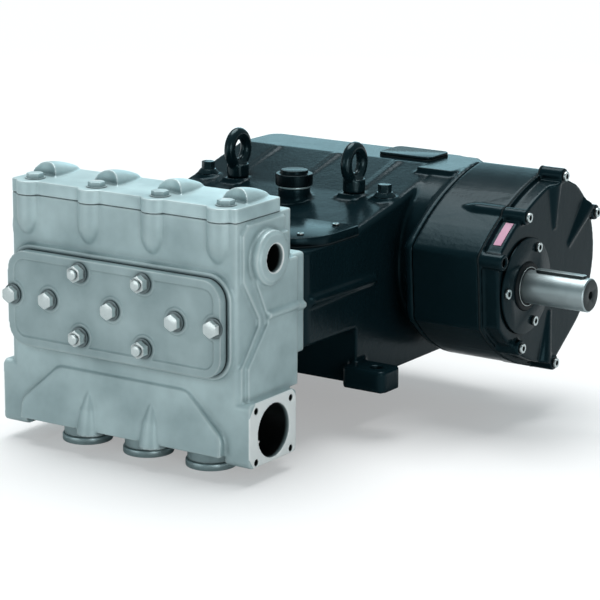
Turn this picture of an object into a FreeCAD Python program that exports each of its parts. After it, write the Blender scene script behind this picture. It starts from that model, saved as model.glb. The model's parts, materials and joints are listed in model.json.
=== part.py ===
import FreeCAD, Part
import math
import os

# Triplex plunger pump: a cast valve manifold at the front, a crankcase behind it and a reduction
# gear case on the drive side, with a keyed input shaft. Millimetres.
# X runs along the crankshaft towards the drive side, Y runs from the manifold to the rear, Z is up.
# The origin is the middle of the four foot bolts, on the face that the pump stands on.
# Every y below is counted from the manifold's front face and every z from the plunger axes. What
# stands behind the manifold keeps its distance from the joint between the two.

# Datums
axis_height = 172.0
origin_behind_joint = 342.0
plunger_pitch = 124.0
plunger_count = 3

# Manifold body
manifold_half_length = 220.0
manifold_depth = 150.0
manifold_bottom = -208.0
manifold_split = 159.0
manifold_edge_radius = 8.0
rear_flange_depth = 34.0
rear_flange_top = 84.0
rear_flange_bottom = -79.0
joint_y = manifold_depth + rear_flange_depth
front_to_origin = joint_y + origin_behind_joint

# Manifold head, with a boss at each head bolt and a tapered hump behind it
head_thickness = 22.0
head_depth = 122.0
boss_radius = 23.0
boss_setback = 10.0
boss_foot = 91.0
boss_foot_radius = 8.0
boss_straight = 58.0
head_bolt_y = 21.0
hump_front_radius = 22.0
hump_middle_radius = 23.5
hump_rear_radius = 13.5
hump_dip = 9.0
hump_hollow_radius = 32.0

# Outlet ports, one at each end
port_y = 66.0
outlet_y = 69.0
port_stand_out = 24.0
outlet_z = 97.0
outlet_bore_radius = 22.0
outlet_bore_depth = 70.0
outlet_boss_radius = 43.0
outlet_lip_radius = 37.0
outlet_lip = 3.0

# Inlet ports, one at each end, in a square block
inlet_z = -175.0
inlet_bore_radius = 43.0
inlet_bore_depth = 90.0
inlet_bolt_spacing_y = 94.0
inlet_bolt_spacing_z = 82.0
inlet_hole_radius = 5.5
inlet_hole_radius_far = 5.25
inlet_hole_depth = 26.0
inlet_block_inset = 23.0
inlet_block_depth = 127.0
inlet_block_top = -121.0
inlet_block_bottom = -224.0
inlet_block_radius = 10.0

# Raised pad on each end face, in two steps that narrow to a waist, with a bead behind the waist
end_pad_step = 6.0
end_pad_top = 153.0
end_pad_front = 11.0
end_pad_low_front = 5.0
end_pad_shoulder = 66.0
end_pad_waist = 52.0
end_pad_waist_z = -3.0
end_pad_waist_half = 5.0
end_pad_hip = -68.0
end_pad_corner = 14.0
end_pad_inset = 24.0
end_pad_waist_inset = 15.0
end_pad_low_inset = 10.0
end_pad_rear = 124.0
end_bead_radius = 6.0
end_bead_z = 6.0
flange_bead_z = -2.0

# Valve cover on the front face
cover_inset = 12.0
cover_top = 72.0
cover_bottom = -82.0
cover_corner_radius = 34.0
cover_pad_thickness = 9.0
cover_pad_margin = 7.0
cover_thickness = 17.0
cover_rim = 13.0
cover_recess = 2.5
cover_seat_radius = 21.0

# Lower swelling of the manifold's front, its two ribs and the three valve plugs below
swell_top_depth = 4.0
swell_foot_depth = 16.0
swell_top = -114.0
swell_top_half = 127.0
swell_bottom_half = 198.0
swell_shoulder = -178.0
swell_knee_radius = 26.0
swell_ridge_radius = 3.5
rib_sink = 12.0
rib_foot = -216.0
rib_middle = -175.0
rib_tip = -143.0
rib_foot_radius = 23.0
rib_middle_radius = 15.5
rib_tip_radius = 3.8
plug_radius = 41.0
plug_thickness = 11.0
plug_neck_radius = 38.0
plug_seat_z = -240.0
plug_socket_across_flats = 27.0
plug_socket_depth = 8.0

# Fasteners of the manifold
bolt_across_flats = 24.0
bolt_head_height = 10.0
head_bolt_height = 7.0
head_washer_thickness = 1.5
bolt_shank_radius = 8.0
bolt_grip = 34.0
bolt_clearance = 0.3
washer_radius = 16.0
washer_thickness = 3.0
nut_height = 13.0
stud_stand_out = 5.0
stud_x = 62.0
stud_z = 52.0
end_bolt_inset = 11.0

# Crankcase
case_half_width = 211.0
case_front = joint_y
lantern_top = 77.0
lantern_bottom = -79.0
sump_front = joint_y + 167.0
case_rear = joint_y + 544.0
slope_start = joint_y + 172.0
slope_start_z = 87.0
slope_knee = joint_y + 300.0
slope_knee_z = 114.0
deck_front = joint_y + 438.0
deck_z = 150.0
case_edge_radius = 9.0
case_rear_radius = 30.0
lantern_corner_radius = 30.0
side_rib_height = 14.0
side_rib_z = -4.0
side_rib_depth = 7.0
side_rib_end = joint_y + 224.0
slope_rib_radius = 17.0
slope_rib_start = joint_y + 306.0
slope_rib_sink = 6.0

# Cover over the plunger bay
bay_cover_thickness = 16.0
bay_cover_front = joint_y + 16.0
bay_cover_corner_radius = 80.0
bay_screw_inset_x = 31.0
bay_screw_inset_y = 20.0
bay_screw_front_inset_x = 38.0
bay_screw_front_y = joint_y + 59.0
bay_screw_radius = 5.5
bay_screw_height = 3.5
bay_screw_socket = 5.0

# Feet: a lug at each corner, flush with the crankcase's underside
foot_height = 36.0
foot_reach = 71.0
foot_root = 10.0
foot_width = 59.0
foot_spacing = 354.0
rear_foot_width = 40.0
foot_hole_radius = 9.0
foot_hole_inset = 30.0
foot_corner_radius = 12.0

# Eyebolts on their bosses
eyebolt_x = 119.0
eyebolt_y = joint_y + 301.0
eyebolt_ring_radius = 24.5
eyebolt_wire_radius = 7.0
eyebolt_collar_radius = 19.0
eyebolt_collar_height = 29.0
eyebolt_ring_lift = 23.0
eyebolt_boss_half = 17.0
eyebolt_boss_front = joint_y + 274.0
eyebolt_boss_rear = joint_y + 316.0
eyebolt_seat_z = 117.0

# Flanged bolts near the top's outer corners
top_bolt_inset = 30.0
top_bolt_y = joint_y + 299.0
top_bolt_flange_radius = 19.0
top_bolt_flange = 7.0
top_bolt_head = 14.0
top_bolt_across_flats = 20.0
top_bolt_seat_z = 117.0

# Spot faces round the eyebolts and the flanged bolts
spot_margin = 1.5
spot_depth = 40.0

# Oil filler plug
filler_x = 31.0
filler_y = joint_y + 252.0
filler_seat_radius = 27.0
filler_seat_z = 127.0
filler_cap_radius = 31.5
filler_cap_height = 20.0
filler_knob_radius = 23.3
filler_knob_height = 6.0

# Inspection cover on the rear deck
inspection_inset = 89.0
inspection_y = joint_y + 488.0
inspection_length = 105.0
inspection_width = 70.0
inspection_thickness = 7.0
inspection_corner_radius = 12.0

# Rear cover, with its sight glass and drain plug
rear_cover_inset = 53.0
rear_cover_top = 120.0
rear_cover_bottom = -122.0
rear_cover_thickness = 14.0
rear_cover_corner_radius = 30.0
rear_screw_inset = 16.0
rear_screw_columns = 4
sight_glass_radius = 22.0
sight_glass_thickness = 7.0
sight_glass_x = 95.0
sight_glass_z = -40.0
drain_plug_radius = 13.0
drain_plug_length = 14.0
drain_plug_z = -80.0

# Bearing cover on the plain side
crank_y = joint_y + 422.0
side_boss_radius = 108.0
side_boss_thickness = 20.0
side_cover_radius = 96.0
side_cover_thickness = 16.0
side_cover_dish_radius = 66.0
side_cover_dish = 5.0
side_screw_circle = 82.0
side_screw_count = 8

# Gear case: its outline goes round these points, through the middles where a side is an arc
gear_front_high = (joint_y + 236.0, 53.0)
gear_front_arc = (joint_y + 345.0, 127.0)
gear_top = (joint_y + 456.0, 161.0)
gear_crown = (joint_y + 513.0, 137.7)
gear_rear = (joint_y + 586.6, 6.0)
gear_heel = (joint_y + 522.8, -119.2)
gear_bottom = (joint_y + 448.0, -171.0)
gear_low_arc = (joint_y + 351.0, -146.0)
gear_front_low = (joint_y + 246.0, -70.0)
gear_corner_radius = 14.0
gear_neck_y = joint_y + 430.0
gear_neck_z = 6.0
gear_neck_radius = 138.0
neck_shelf_front = joint_y + 400.0
neck_shelf_rear = joint_y + 532.0
neck_shelf_corner = 25.0
gear_flare = 12.0
gear_neck_length = 39.0
gear_flange_thickness = 23.0
gear_housing_length = 124.0
gear_cover_thickness = 32.0
gear_cover_taper = 8.0
gear_cover_land = 4.0

# Screws of the gear cover, each in a boss that runs back along the housing as a ridge
gear_screws = [(joint_y + y, z) for y, z in ((322.0, 107.5), (444.5, 156.0), (561.5, 75.0),
                                             (426.5, -159.0), (309.5, -108.5))]
gear_boss_radius = 13.0
gear_boss_stand_out = 11.0
gear_ridge_gap = 17.0
gear_ridge_point = 55.0
gear_dowel = (joint_y + 248.0, 46.0)
gear_dowel_radius = 6.5
gear_dowel_depth = 12.0

# Tapered ribs on the gear cover's face, from the rim inwards
face_ribs = [((joint_y + 429.0, 155.0), (joint_y + 434.0, 69.0)),
             ((joint_y + 550.0, 89.0), (joint_y + 485.0, 31.0)),
             ((joint_y + 408.0, -163.0), (joint_y + 424.0, -72.0))]
face_rib_radius = 19.0
face_rib_tip_radius = 9.0
face_rib_sink = 6.0

# Input shaft, its key, seal and bearing cover
shaft_y = joint_y + 336.0
shaft_z = -10.0
shaft_radius = 27.5
shaft_reach = 121.0
shaft_depth = 79.0
shaft_clearance = 0.05
shaft_chamfer = 2.0
centre_hole_radius = 7.0
centre_hole_depth = 22.0
key_width = 16.0
key_height = 10.0
key_seat = 6.0
key_length = 90.0
key_end_gap = 9.0
seal_outer_radius = 40.0
seal_stand_out = 2.5
seal_depth = 10.0
seal_chamfer = 1.5
pinion_cover_radius = 80.0
pinion_cover_inset = 2.0
pinion_cover_thickness = 5.0
pinion_screw_circle = 67.7
pinion_screw_angles = (61.0, 180.0, 291.0)

# Socket screws
screw_head_radius = 8.0
screw_head_height = 5.0
screw_socket = 8.0
screw_socket_share = 0.6

X = FreeCAD.Vector(1, 0, 0)
Y = FreeCAD.Vector(0, 1, 0)
Z = FreeCAD.Vector(0, 0, 1)
tiny = 0.01
merge = 1.0

plungers = [plunger_pitch * (i - (plunger_count - 1) / 2.0) for i in range(plunger_count)]
head_bolts = [plunger_pitch * (i - plunger_count / 2.0) for i in range(plunger_count + 1)]
manifold_top = manifold_split + head_thickness
port_face = manifold_half_length + port_stand_out
inlet_block_inner = manifold_half_length - inlet_block_inset
cover_half_length = manifold_half_length - cover_inset
cover_front = cover_pad_thickness + cover_thickness
end_bolt_x = cover_half_length - end_bolt_inset
case_bottom = -axis_height
top_bolt_x = case_half_width - top_bolt_inset
inspection_x = case_half_width - inspection_inset
rear_cover_half = case_half_width - rear_cover_inset
gear_flare_start = case_half_width + gear_neck_length
gear_flange_end = gear_flare_start + gear_flange_thickness
gear_split = gear_flange_end + gear_housing_length
gear_face = gear_split + gear_cover_thickness
gear_boss_face = gear_face + gear_boss_stand_out
gear_ridge_tip = gear_flange_end + gear_ridge_gap
gear_ridge_full = gear_ridge_tip + gear_ridge_point
pinion_face = gear_face + pinion_cover_thickness
shaft_end = gear_face + shaft_reach
shaft_inner_end = gear_face - shaft_depth


def at(x, y, z):
    """A point given from the manifold's front face and the plunger axes."""
    return FreeCAD.Vector(x, y - front_to_origin, z + axis_height)


def box(x0, x1, y0, y1, z0, z1):
    return Part.makeBox(x1 - x0, y1 - y0, z1 - z0, at(x0, y0, z0))


def prism(points, push):
    """A closed outline of straight sides, pushed along a vector."""
    return Part.Face(Part.makePolygon(points + [points[0]])).extrude(push)


def straight_edges(shape, test):
    """The shape's straight edges whose middle and direction pass the test."""
    found = []
    for edge in shape.Edges:
        if len(edge.Vertexes) == 2 and isinstance(edge.Curve, Part.Line):
            start, end = [vertex.Point for vertex in edge.Vertexes]
            way = end - start
            way.normalize()
            if test((start + end) * 0.5, way):
                found.append(edge)
    return found


def rounded_box(x0, x1, y0, y1, z0, z1, radius, axis):
    """A box with its four edges along one axis rounded."""
    solid = box(x0, x1, y0, y1, z0, z1)
    return solid.makeFillet(radius, straight_edges(solid, lambda middle, way: abs(way.dot(axis)) > 0.99))


def hexagon(across_flats, height, start, direction):
    """A hexagonal prism along a direction."""
    reach = across_flats / math.sqrt(3.0)
    turn = FreeCAD.Rotation(Z, direction)
    corners = []
    for i in range(6):
        angle = math.radians(60.0 * i + 30.0)
        corner = FreeCAD.Vector(reach * math.cos(angle), reach * math.sin(angle), 0)
        corners.append(start + turn.multVec(corner))
    return prism(corners, direction * height)


def hex_head(across_flats, height, start, direction):
    """A hexagon head with its outer corners turned off."""
    reach = across_flats / math.sqrt(3.0)
    cone = Part.makeCone(reach + height * 0.6, reach * 0.94, height, start, direction)
    return hexagon(across_flats, height, start, direction).common(cone)


def hex_bolt(seat, direction, grip, washer_height, head_height):
    """A hexagon bolt with its washer on a seat, and a shank that reaches into the casting."""
    washer = Part.makeCylinder(washer_radius, washer_height, seat, direction)
    head = hex_head(bolt_across_flats, head_height, seat + direction * washer_height, direction)
    shank = Part.makeCylinder(bolt_shank_radius, grip + merge, seat - direction * grip, direction)
    return washer.fuse(head).fuse(shank)


def stud_and_nut(seat, direction, grip):
    """A stud's end with its washer and nut."""
    length = grip + washer_thickness + nut_height + stud_stand_out
    washer = Part.makeCylinder(washer_radius, washer_thickness, seat, direction)
    nut = hex_head(bolt_across_flats, nut_height, seat + direction * washer_thickness, direction)
    stud = Part.makeCylinder(bolt_shank_radius, length, seat - direction * grip, direction)
    return washer.fuse(nut).fuse(stud)


def shank_hole(seat, direction, grip):
    """The hole for a bolt's shank, which ends just past the shank."""
    return Part.makeCylinder(bolt_shank_radius + bolt_clearance, grip + merge + bolt_clearance,
                             seat - direction * (grip + bolt_clearance), direction)


def socket_screw(seat, direction, radius=screw_head_radius, height=screw_head_height, across=screw_socket):
    """A socket screw's head on its seat."""
    head = Part.makeCylinder(radius, height, seat, direction)
    depth = height * screw_socket_share
    floor = seat + direction * (height - depth)
    return head.cut(hexagon(across, depth + tiny, floor, direction))


def even_angles(count):
    """Angles of a full circle's even steps, in degrees."""
    return [360.0 * i / count for i in range(count)]


def slope_z(y):
    """Height of the crankcase's sloping top at y."""
    if y < slope_knee:
        share = (y - slope_start) / (slope_knee - slope_start)
        return slope_start_z + share * (slope_knee_z - slope_start_z)
    share = min(1.0, (y - slope_knee) / (deck_front - slope_knee))
    return slope_knee_z + share * (deck_z - slope_knee_z)


def gear_outline(x0, x1, grow):
    """The gear case's outline, grown outwards, as a solid from x0 to x1 with rounded corners."""
    def place(point):
        return at(x0, *point)

    sides = [Part.Arc(place(gear_front_high), place(gear_front_arc), place(gear_top)).toShape(),
             Part.LineSegment(place(gear_top), place(gear_crown)).toShape(),
             Part.Arc(place(gear_crown), place(gear_rear), place(gear_heel)).toShape(),
             Part.LineSegment(place(gear_heel), place(gear_bottom)).toShape(),
             Part.Arc(place(gear_bottom), place(gear_low_arc), place(gear_front_low)).toShape(),
             Part.LineSegment(place(gear_front_low), place(gear_front_high)).toShape()]
    solid = Part.Face(Part.Wire(sides)).extrude(X * (x1 - x0))
    corners = [gear_front_high, gear_top, gear_crown, gear_heel, gear_bottom, gear_front_low]
    spots = [at((x0 + x1) / 2.0, *corner) for corner in corners]
    solid = solid.makeFillet(gear_corner_radius, straight_edges(
        solid, lambda middle, way: any((middle - spot).Length < tiny for spot in spots)))
    if grow:
        end = [face for face in solid.Faces if face.CenterOfMass.x < x0 + tiny][0]
        wire = end.OuterWire.makeOffset2D(grow)
        solid = Part.Face(wire).extrude(X * (x1 - x0))
    return solid


def make_boss(x, low, high):
    """A boss round a head bolt, straight at its top and closed by a bullet's tip in the front face."""
    tip_top = manifold_top - boss_straight
    drop = tip_top - boss_foot
    inset = boss_radius - boss_foot_radius
    arc_radius = (drop * drop + inset * inset) / (2.0 * inset)
    middle_radius = boss_radius - arc_radius + math.sqrt(arc_radius ** 2 - (drop / 2.0) ** 2)
    rim = [at(x + boss_radius, boss_setback, tip_top),
           at(x + middle_radius, boss_setback, tip_top - drop / 2.0),
           at(x + boss_foot_radius, boss_setback, boss_foot)]
    axis_top = at(x, boss_setback, tip_top)
    axis_foot = at(x, boss_setback, boss_foot)
    profile = Part.Wire([Part.LineSegment(axis_top, rim[0]).toShape(), Part.Arc(*rim).toShape(),
                         Part.LineSegment(rim[2], axis_foot).toShape(),
                         Part.LineSegment(axis_foot, axis_top).toShape()])
    tip = Part.Face(profile).revolve(axis_top, Z, 360.0)
    column = Part.makeCylinder(boss_radius, boss_straight, axis_top, Z)
    return tip.fuse(column).common(box(x - plunger_pitch, x + plunger_pitch, -plunger_pitch,
                                       boss_setback + boss_radius, low, high))


def make_hump(x):
    """The hump behind a head bolt, arched and narrowing to the rear, hollowed round the bolt."""
    start = at(x, head_bolt_y, manifold_top)
    end = at(x, head_depth, manifold_top - hump_dip)
    way = end - start
    way.normalize()
    rise = X.cross(way)
    rim = [start + rise * hump_front_radius, (start + end) * 0.5 + rise * hump_middle_radius,
           end + rise * hump_rear_radius]
    profile = Part.Wire([Part.LineSegment(start, rim[0]).toShape(), Part.Arc(*rim).toShape(),
                         Part.LineSegment(rim[2], end).toShape(), Part.LineSegment(end, start).toShape()])
    hump = Part.Face(profile).revolve(start, way, 360.0)
    room = box(x - plunger_pitch, x + plunger_pitch, head_bolt_y, head_depth,
               manifold_top - merge, manifold_top + hump_middle_radius)
    hollow = Part.makeCylinder(hump_hollow_radius, hump_middle_radius + 2 * merge,
                               start - Z * 2 * merge, Z)
    return hump.common(room).cut(hollow)


def end_pad_outline(top, front, waist, low_front):
    """The front edge of an end pad from its top to the inlet block, closed along the rear."""
    return [(manifold_depth, rear_flange_top), (end_pad_rear, rear_flange_top), (end_pad_rear, top),
            (front + end_pad_corner, top), (front, top - end_pad_corner),
            (front, end_pad_shoulder), (waist, end_pad_waist_z + end_pad_waist_half),
            (waist, end_pad_waist_z - end_pad_waist_half), (low_front, end_pad_hip),
            (low_front, inlet_block_top - merge), (manifold_depth, inlet_block_top - merge)]


def make_end_pad(side):
    """The raised pad of one end face in two steps, with the bead behind its waist."""
    root = manifold_half_length - merge
    outer = end_pad_outline(end_pad_top, end_pad_front, end_pad_waist, end_pad_low_front)
    inner = end_pad_outline(end_pad_top - end_pad_inset, end_pad_front + end_pad_inset,
                            end_pad_waist + end_pad_waist_inset, end_pad_low_front + end_pad_low_inset)
    steps = [prism([at(side * root, y, z) for y, z in outline], X * side * (count * end_pad_step + merge))
             for count, outline in ((1, outer), (2, inner))]
    bead_start = end_pad_waist + end_pad_waist_inset
    bead = Part.makeCylinder(end_bead_radius, manifold_depth - bead_start,
                             at(side * (manifold_half_length + 2 * end_pad_step), bead_start, end_bead_z), Y)
    tail = Part.makeCylinder(end_bead_radius, rear_flange_depth + merge,
                             at(side * manifold_half_length, manifold_depth - merge, flange_bead_z), Y)
    return steps + [bead, tail]


def make_swell():
    """The lower swelling of the manifold's front: it leans out towards its foot, with a rounded ridge."""
    side = [(swell_top_half, swell_top), (swell_bottom_half, swell_shoulder),
            (swell_bottom_half, manifold_bottom)]
    outline = [at(x, -swell_foot_depth, z) for x, z in side]
    outline += [at(-x, -swell_foot_depth, z) for x, z in reversed(side)]
    swell = prism(outline, Y * (swell_foot_depth + merge))
    lean = [at(-manifold_half_length, -swell_foot_depth, manifold_bottom),
            at(-manifold_half_length, -swell_top_depth, swell_top),
            at(-manifold_half_length, -swell_foot_depth, swell_top)]
    swell = swell.cut(prism(lean, X * (2 * manifold_half_length)))
    floor = at(0, 0, manifold_bottom).z + tiny
    knees = straight_edges(swell, lambda middle, way: abs(way.dot(Y)) > 0.99 and middle.z > floor)
    swell = swell.makeFillet(swell_knee_radius, knees)
    outer = [face for face in swell.Faces if face.CenterOfMass.y < at(0, 0, 0).y]
    front = max(outer, key=lambda face: face.Area)
    ridge = [edge for edge in front.Edges if edge.BoundBox.ZMax > floor]
    return swell.makeFillet(swell_ridge_radius, ridge)


def make_swell_rib(x):
    """A rib on the lower swelling: a half cone that widens downwards and ends before the plug's neck."""
    axis_y = rib_sink - swell_foot_depth
    lower = Part.makeCone(rib_foot_radius, rib_middle_radius, rib_middle - rib_foot, at(x, axis_y, rib_foot), Z)
    upper = Part.makeCone(rib_middle_radius, rib_tip_radius, rib_tip - rib_middle, at(x, axis_y, rib_middle), Z)
    return lower.fuse(upper).removeSplitter()


def make_manifold():
    """The manifold's main casting, with its pads, ports, bosses and ribs."""
    half = manifold_half_length
    body = rounded_box(-half, half, 0, manifold_depth, manifold_bottom, manifold_split,
                       manifold_edge_radius, Z)
    adds = [rounded_box(-half, half, manifold_depth - merge, manifold_depth + rear_flange_depth,
                        rear_flange_bottom, rear_flange_top, manifold_edge_radius, Y)]
    adds.append(rounded_box(-cover_half_length - cover_pad_margin, cover_half_length + cover_pad_margin,
                            -cover_pad_thickness, merge, cover_bottom - cover_pad_margin,
                            cover_top + cover_pad_margin, cover_corner_radius + cover_pad_margin, Y))
    adds.append(make_swell())
    for x in head_bolts:
        adds.append(make_boss(x, boss_foot, manifold_split))
    for x in head_bolts[1:-1]:
        adds.append(make_swell_rib(x))
    for side in (-1, 1):
        adds.extend(make_end_pad(side))
        low, high = sorted((side * inlet_block_inner, side * port_face))
        adds.append(rounded_box(low, high, 0, inlet_block_depth, inlet_block_bottom, inlet_block_top,
                                inlet_block_radius, X))
        root = side * (half - merge)
        adds.append(Part.makeCylinder(outlet_boss_radius, port_face - outlet_lip - half + merge,
                                      at(root, outlet_y, outlet_z), X * side))
        adds.append(Part.makeCylinder(outlet_lip_radius, port_face - half + merge,
                                      at(root, outlet_y, outlet_z), X * side))
    for x in plungers:
        adds.append(Part.makeCylinder(plug_neck_radius, manifold_bottom - plug_seat_z + merge,
                                      at(x, port_y, plug_seat_z), Z))
    body = body.fuse(adds)
    cuts = []
    for side in (-1, 1):
        face = side * port_face
        hole_radius = inlet_hole_radius if side > 0 else inlet_hole_radius_far
        cuts.append(Part.makeCylinder(outlet_bore_radius, outlet_bore_depth,
                                      at(face, outlet_y, outlet_z), X * -side))
        cuts.append(Part.makeCylinder(inlet_bore_radius, inlet_bore_depth,
                                      at(face, port_y, inlet_z), X * -side))
        for y in (-inlet_bolt_spacing_y / 2.0, inlet_bolt_spacing_y / 2.0):
            for z in (-inlet_bolt_spacing_z / 2.0, inlet_bolt_spacing_z / 2.0):
                cuts.append(Part.makeCylinder(hole_radius, inlet_hole_depth,
                                              at(face, port_y + y, inlet_z + z), X * -side))
    for seat, way in cover_bolt_seats() + cover_stud_seats() + head_bolt_seats():
        cuts.append(shank_hole(seat, way, bolt_grip))
    return body.cut(cuts).removeSplitter()


def make_head():
    """The manifold's head: a slab with a boss at each bolt and a hump behind each boss."""
    half = manifold_half_length
    head = rounded_box(-half, half, 0, head_depth, manifold_split, manifold_top, manifold_edge_radius, Z)
    adds = []
    for x in head_bolts:
        adds.append(make_boss(x, manifold_split, manifold_top))
        adds.append(make_hump(x))
    head = head.fuse(adds)
    return head.cut([shank_hole(seat, way, bolt_grip) for seat, way in head_bolt_seats()]).removeSplitter()


def head_bolt_seats():
    return [(at(x, head_bolt_y, manifold_top), Z) for x in head_bolts]


def cover_bolt_seats():
    xs = [-end_bolt_x] + plungers + [end_bolt_x]
    return [(at(x, -cover_front, 0), Y * -1) for x in xs]


def cover_stud_seats():
    return [(at(x, -cover_front, z), Y * -1) for z in (stud_z, -stud_z) for x in (-stud_x, stud_x)]


def make_cover():
    """The valve cover: a plate with a raised rim, and a round seat at each fastener."""
    plate = rounded_box(-cover_half_length, cover_half_length, -cover_front, -cover_pad_thickness,
                        cover_bottom, cover_top, cover_corner_radius, Y)
    panel = rounded_box(-cover_half_length + cover_rim, cover_half_length - cover_rim,
                        -cover_front - merge, -cover_front + cover_recess, cover_bottom + cover_rim,
                        cover_top - cover_rim, cover_corner_radius - cover_rim, Y)
    seats = []
    holes = []
    for seat, way in cover_bolt_seats() + cover_stud_seats():
        seats.append(Part.makeCylinder(cover_seat_radius, cover_recess, seat, way * -1).common(plate))
        holes.append(shank_hole(seat, way, bolt_grip))
    return plate.cut(panel).fuse(seats).cut(holes).removeSplitter()


def make_plug(x):
    """A valve plug under the manifold, with a hexagon socket."""
    plug = Part.makeCylinder(plug_radius, plug_thickness, at(x, port_y, plug_seat_z - plug_thickness), Z)
    socket = hexagon(plug_socket_across_flats, plug_socket_depth,
                     at(x, port_y, plug_seat_z - plug_thickness), Z)
    return plug.cut(socket)


def make_crankcase():
    """The crankcase: a lantern round the plungers, the sump, and a top that slopes up to the rear."""
    half = case_half_width
    outline = [(case_front, lantern_bottom), (case_front, lantern_top), (slope_start, lantern_top),
               (slope_start, slope_start_z), (slope_knee, slope_knee_z), (deck_front, deck_z),
               (case_rear, deck_z), (case_rear, case_bottom), (sump_front, case_bottom),
               (sump_front, lantern_bottom)]
    case = prism([at(-half, y, z) for y, z in outline], X * 2 * half)
    rear = at(0, case_rear, 0).y
    case = case.makeFillet(case_rear_radius, straight_edges(
        case, lambda middle, way: abs(middle.y - rear) < tiny and abs(way.z) > 0.99))
    front = at(0, case_front, 0).y
    case = case.makeFillet(lantern_corner_radius, straight_edges(
        case, lambda middle, way: abs(middle.y - front) < tiny and abs(way.z) > 0.99))
    start = at(0, slope_start, 0).y
    case = case.makeFillet(case_edge_radius, straight_edges(
        case, lambda middle, way: middle.y > start + tiny and middle.z > axis_height + slope_start_z
        and abs(way.y) > 0.9))
    adds = [make_gear_flange(), make_neck_shelf()]
    adds.append(Part.makeCylinder(gear_neck_radius, gear_flange_end - half,
                                  at(half - merge, gear_neck_y, gear_neck_z), X))
    adds.append(Part.makeCylinder(side_boss_radius, side_boss_thickness + merge,
                                  at(-half + merge, crank_y, 0), X * -1))
    for side in (-1, 1):
        low, high = sorted((side * (half - merge), side * (half + side_rib_depth)))
        adds.append(box(low, high, case_front + lantern_corner_radius, side_rib_end,
                        side_rib_z - side_rib_height / 2.0, side_rib_z + side_rib_height / 2.0))
        low, high = sorted((side * (half - foot_root), side * (half + foot_reach)))
        for end, width in ((-1, foot_width), (1, rear_foot_width)):
            middle = front_to_origin + end * foot_spacing / 2.0
            adds.append(rounded_box(low, high, middle - width / 2.0, middle + width / 2.0,
                                    case_bottom, case_bottom + foot_height, foot_corner_radius, Z))
        adds.append(box(side * eyebolt_x - eyebolt_boss_half, side * eyebolt_x + eyebolt_boss_half,
                        eyebolt_boss_front, eyebolt_boss_rear, slope_start_z, eyebolt_seat_z))
        adds.append(Part.makeCylinder(eyebolt_collar_radius + spot_margin, eyebolt_seat_z - slope_start_z,
                                      at(side * eyebolt_x, eyebolt_y, slope_start_z), Z))
        adds.append(Part.makeCylinder(top_bolt_flange_radius + spot_margin, top_bolt_seat_z - slope_start_z,
                                      at(side * top_bolt_x, top_bolt_y, slope_start_z), Z))
    adds.append(Part.makeCylinder(filler_seat_radius, filler_seat_z - slope_start_z,
                                  at(filler_x, filler_y, slope_start_z), Z))
    for x in plungers:
        adds.append(make_slope_rib(x))
    case = case.fuse(adds)
    holes = []
    for side in (-1, 1):
        holes.append(Part.makeCylinder(eyebolt_collar_radius + spot_margin, spot_depth,
                                       at(side * eyebolt_x, eyebolt_y, eyebolt_seat_z), Z))
        holes.append(Part.makeCylinder(top_bolt_flange_radius + spot_margin, spot_depth,
                                       at(side * top_bolt_x, top_bolt_y, top_bolt_seat_z), Z))
    for x, y in foot_holes():
        holes.append(Part.makeCylinder(foot_hole_radius, foot_height + 2 * merge,
                                      at(x, y, case_bottom - merge), Z))
    return case.cut(holes).removeSplitter()


def make_neck_shelf():
    """The deck's shelf over the neck, up to the gear case's flange, its rear corner cut off."""
    inner = case_half_width - case_rear_radius
    outline = [(inner, neck_shelf_front), (gear_flare_start, neck_shelf_front),
               (gear_flare_start, neck_shelf_rear - neck_shelf_corner),
               (gear_flare_start - neck_shelf_corner, neck_shelf_rear), (inner, neck_shelf_rear)]
    return prism([at(x, y, 0) for x, y in outline], Z * deck_z)


def make_slope_rib(x):
    """A half-round rib up the slope, from its tip to the deck's front edge."""
    foot = at(x, slope_rib_start, slope_z(slope_rib_start) - slope_rib_radius)
    top = at(x, deck_front, deck_z - slope_rib_sink - slope_rib_radius / 2.0)
    return Part.makeCylinder(slope_rib_radius, (top - foot).Length, foot, top - foot)


def foot_holes():
    reach = case_half_width + foot_reach - foot_hole_inset
    ys = (front_to_origin - foot_spacing / 2.0, front_to_origin + foot_spacing / 2.0)
    return [(x, y) for x in (-reach, reach) for y in ys]


def make_bay_cover():
    """The flat cover over the plunger bay, with rounded front corners."""
    half = case_half_width
    plate = box(-half, half, bay_cover_front, slope_start, lantern_top, lantern_top + bay_cover_thickness)
    front = at(0, bay_cover_front, 0).y
    return plate.makeFillet(bay_cover_corner_radius, straight_edges(
        plate, lambda middle, way: abs(middle.y - front) < tiny and abs(way.z) > 0.99))


def make_bay_screws():
    """The small screws at the bay cover's rear corners, its sides and its middle."""
    rear_x = case_half_width - bay_screw_inset_x
    rear_y = slope_start - bay_screw_inset_y
    front_x = case_half_width - bay_screw_front_inset_x
    places = [(-rear_x, rear_y), (0, rear_y), (rear_x, rear_y),
              (-front_x, bay_screw_front_y), (front_x, bay_screw_front_y)]
    seats = [at(x, y, lantern_top + bay_cover_thickness) for x, y in places]
    return Part.makeCompound([socket_screw(seat, Z, bay_screw_radius, bay_screw_height, bay_screw_socket)
                              for seat in seats])


def make_eyebolt(x):
    """A lifting eyebolt: a tall collar and a ring, with the hole along X."""
    seat = at(x, eyebolt_y, eyebolt_seat_z)
    middle = seat + Z * (eyebolt_collar_height + eyebolt_ring_lift)
    collar = Part.makeCylinder(eyebolt_collar_radius, eyebolt_collar_height, seat, Z)
    ring = Part.makeTorus(eyebolt_ring_radius, eyebolt_wire_radius, middle, X)
    return collar.fuse(ring).removeSplitter()


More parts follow.
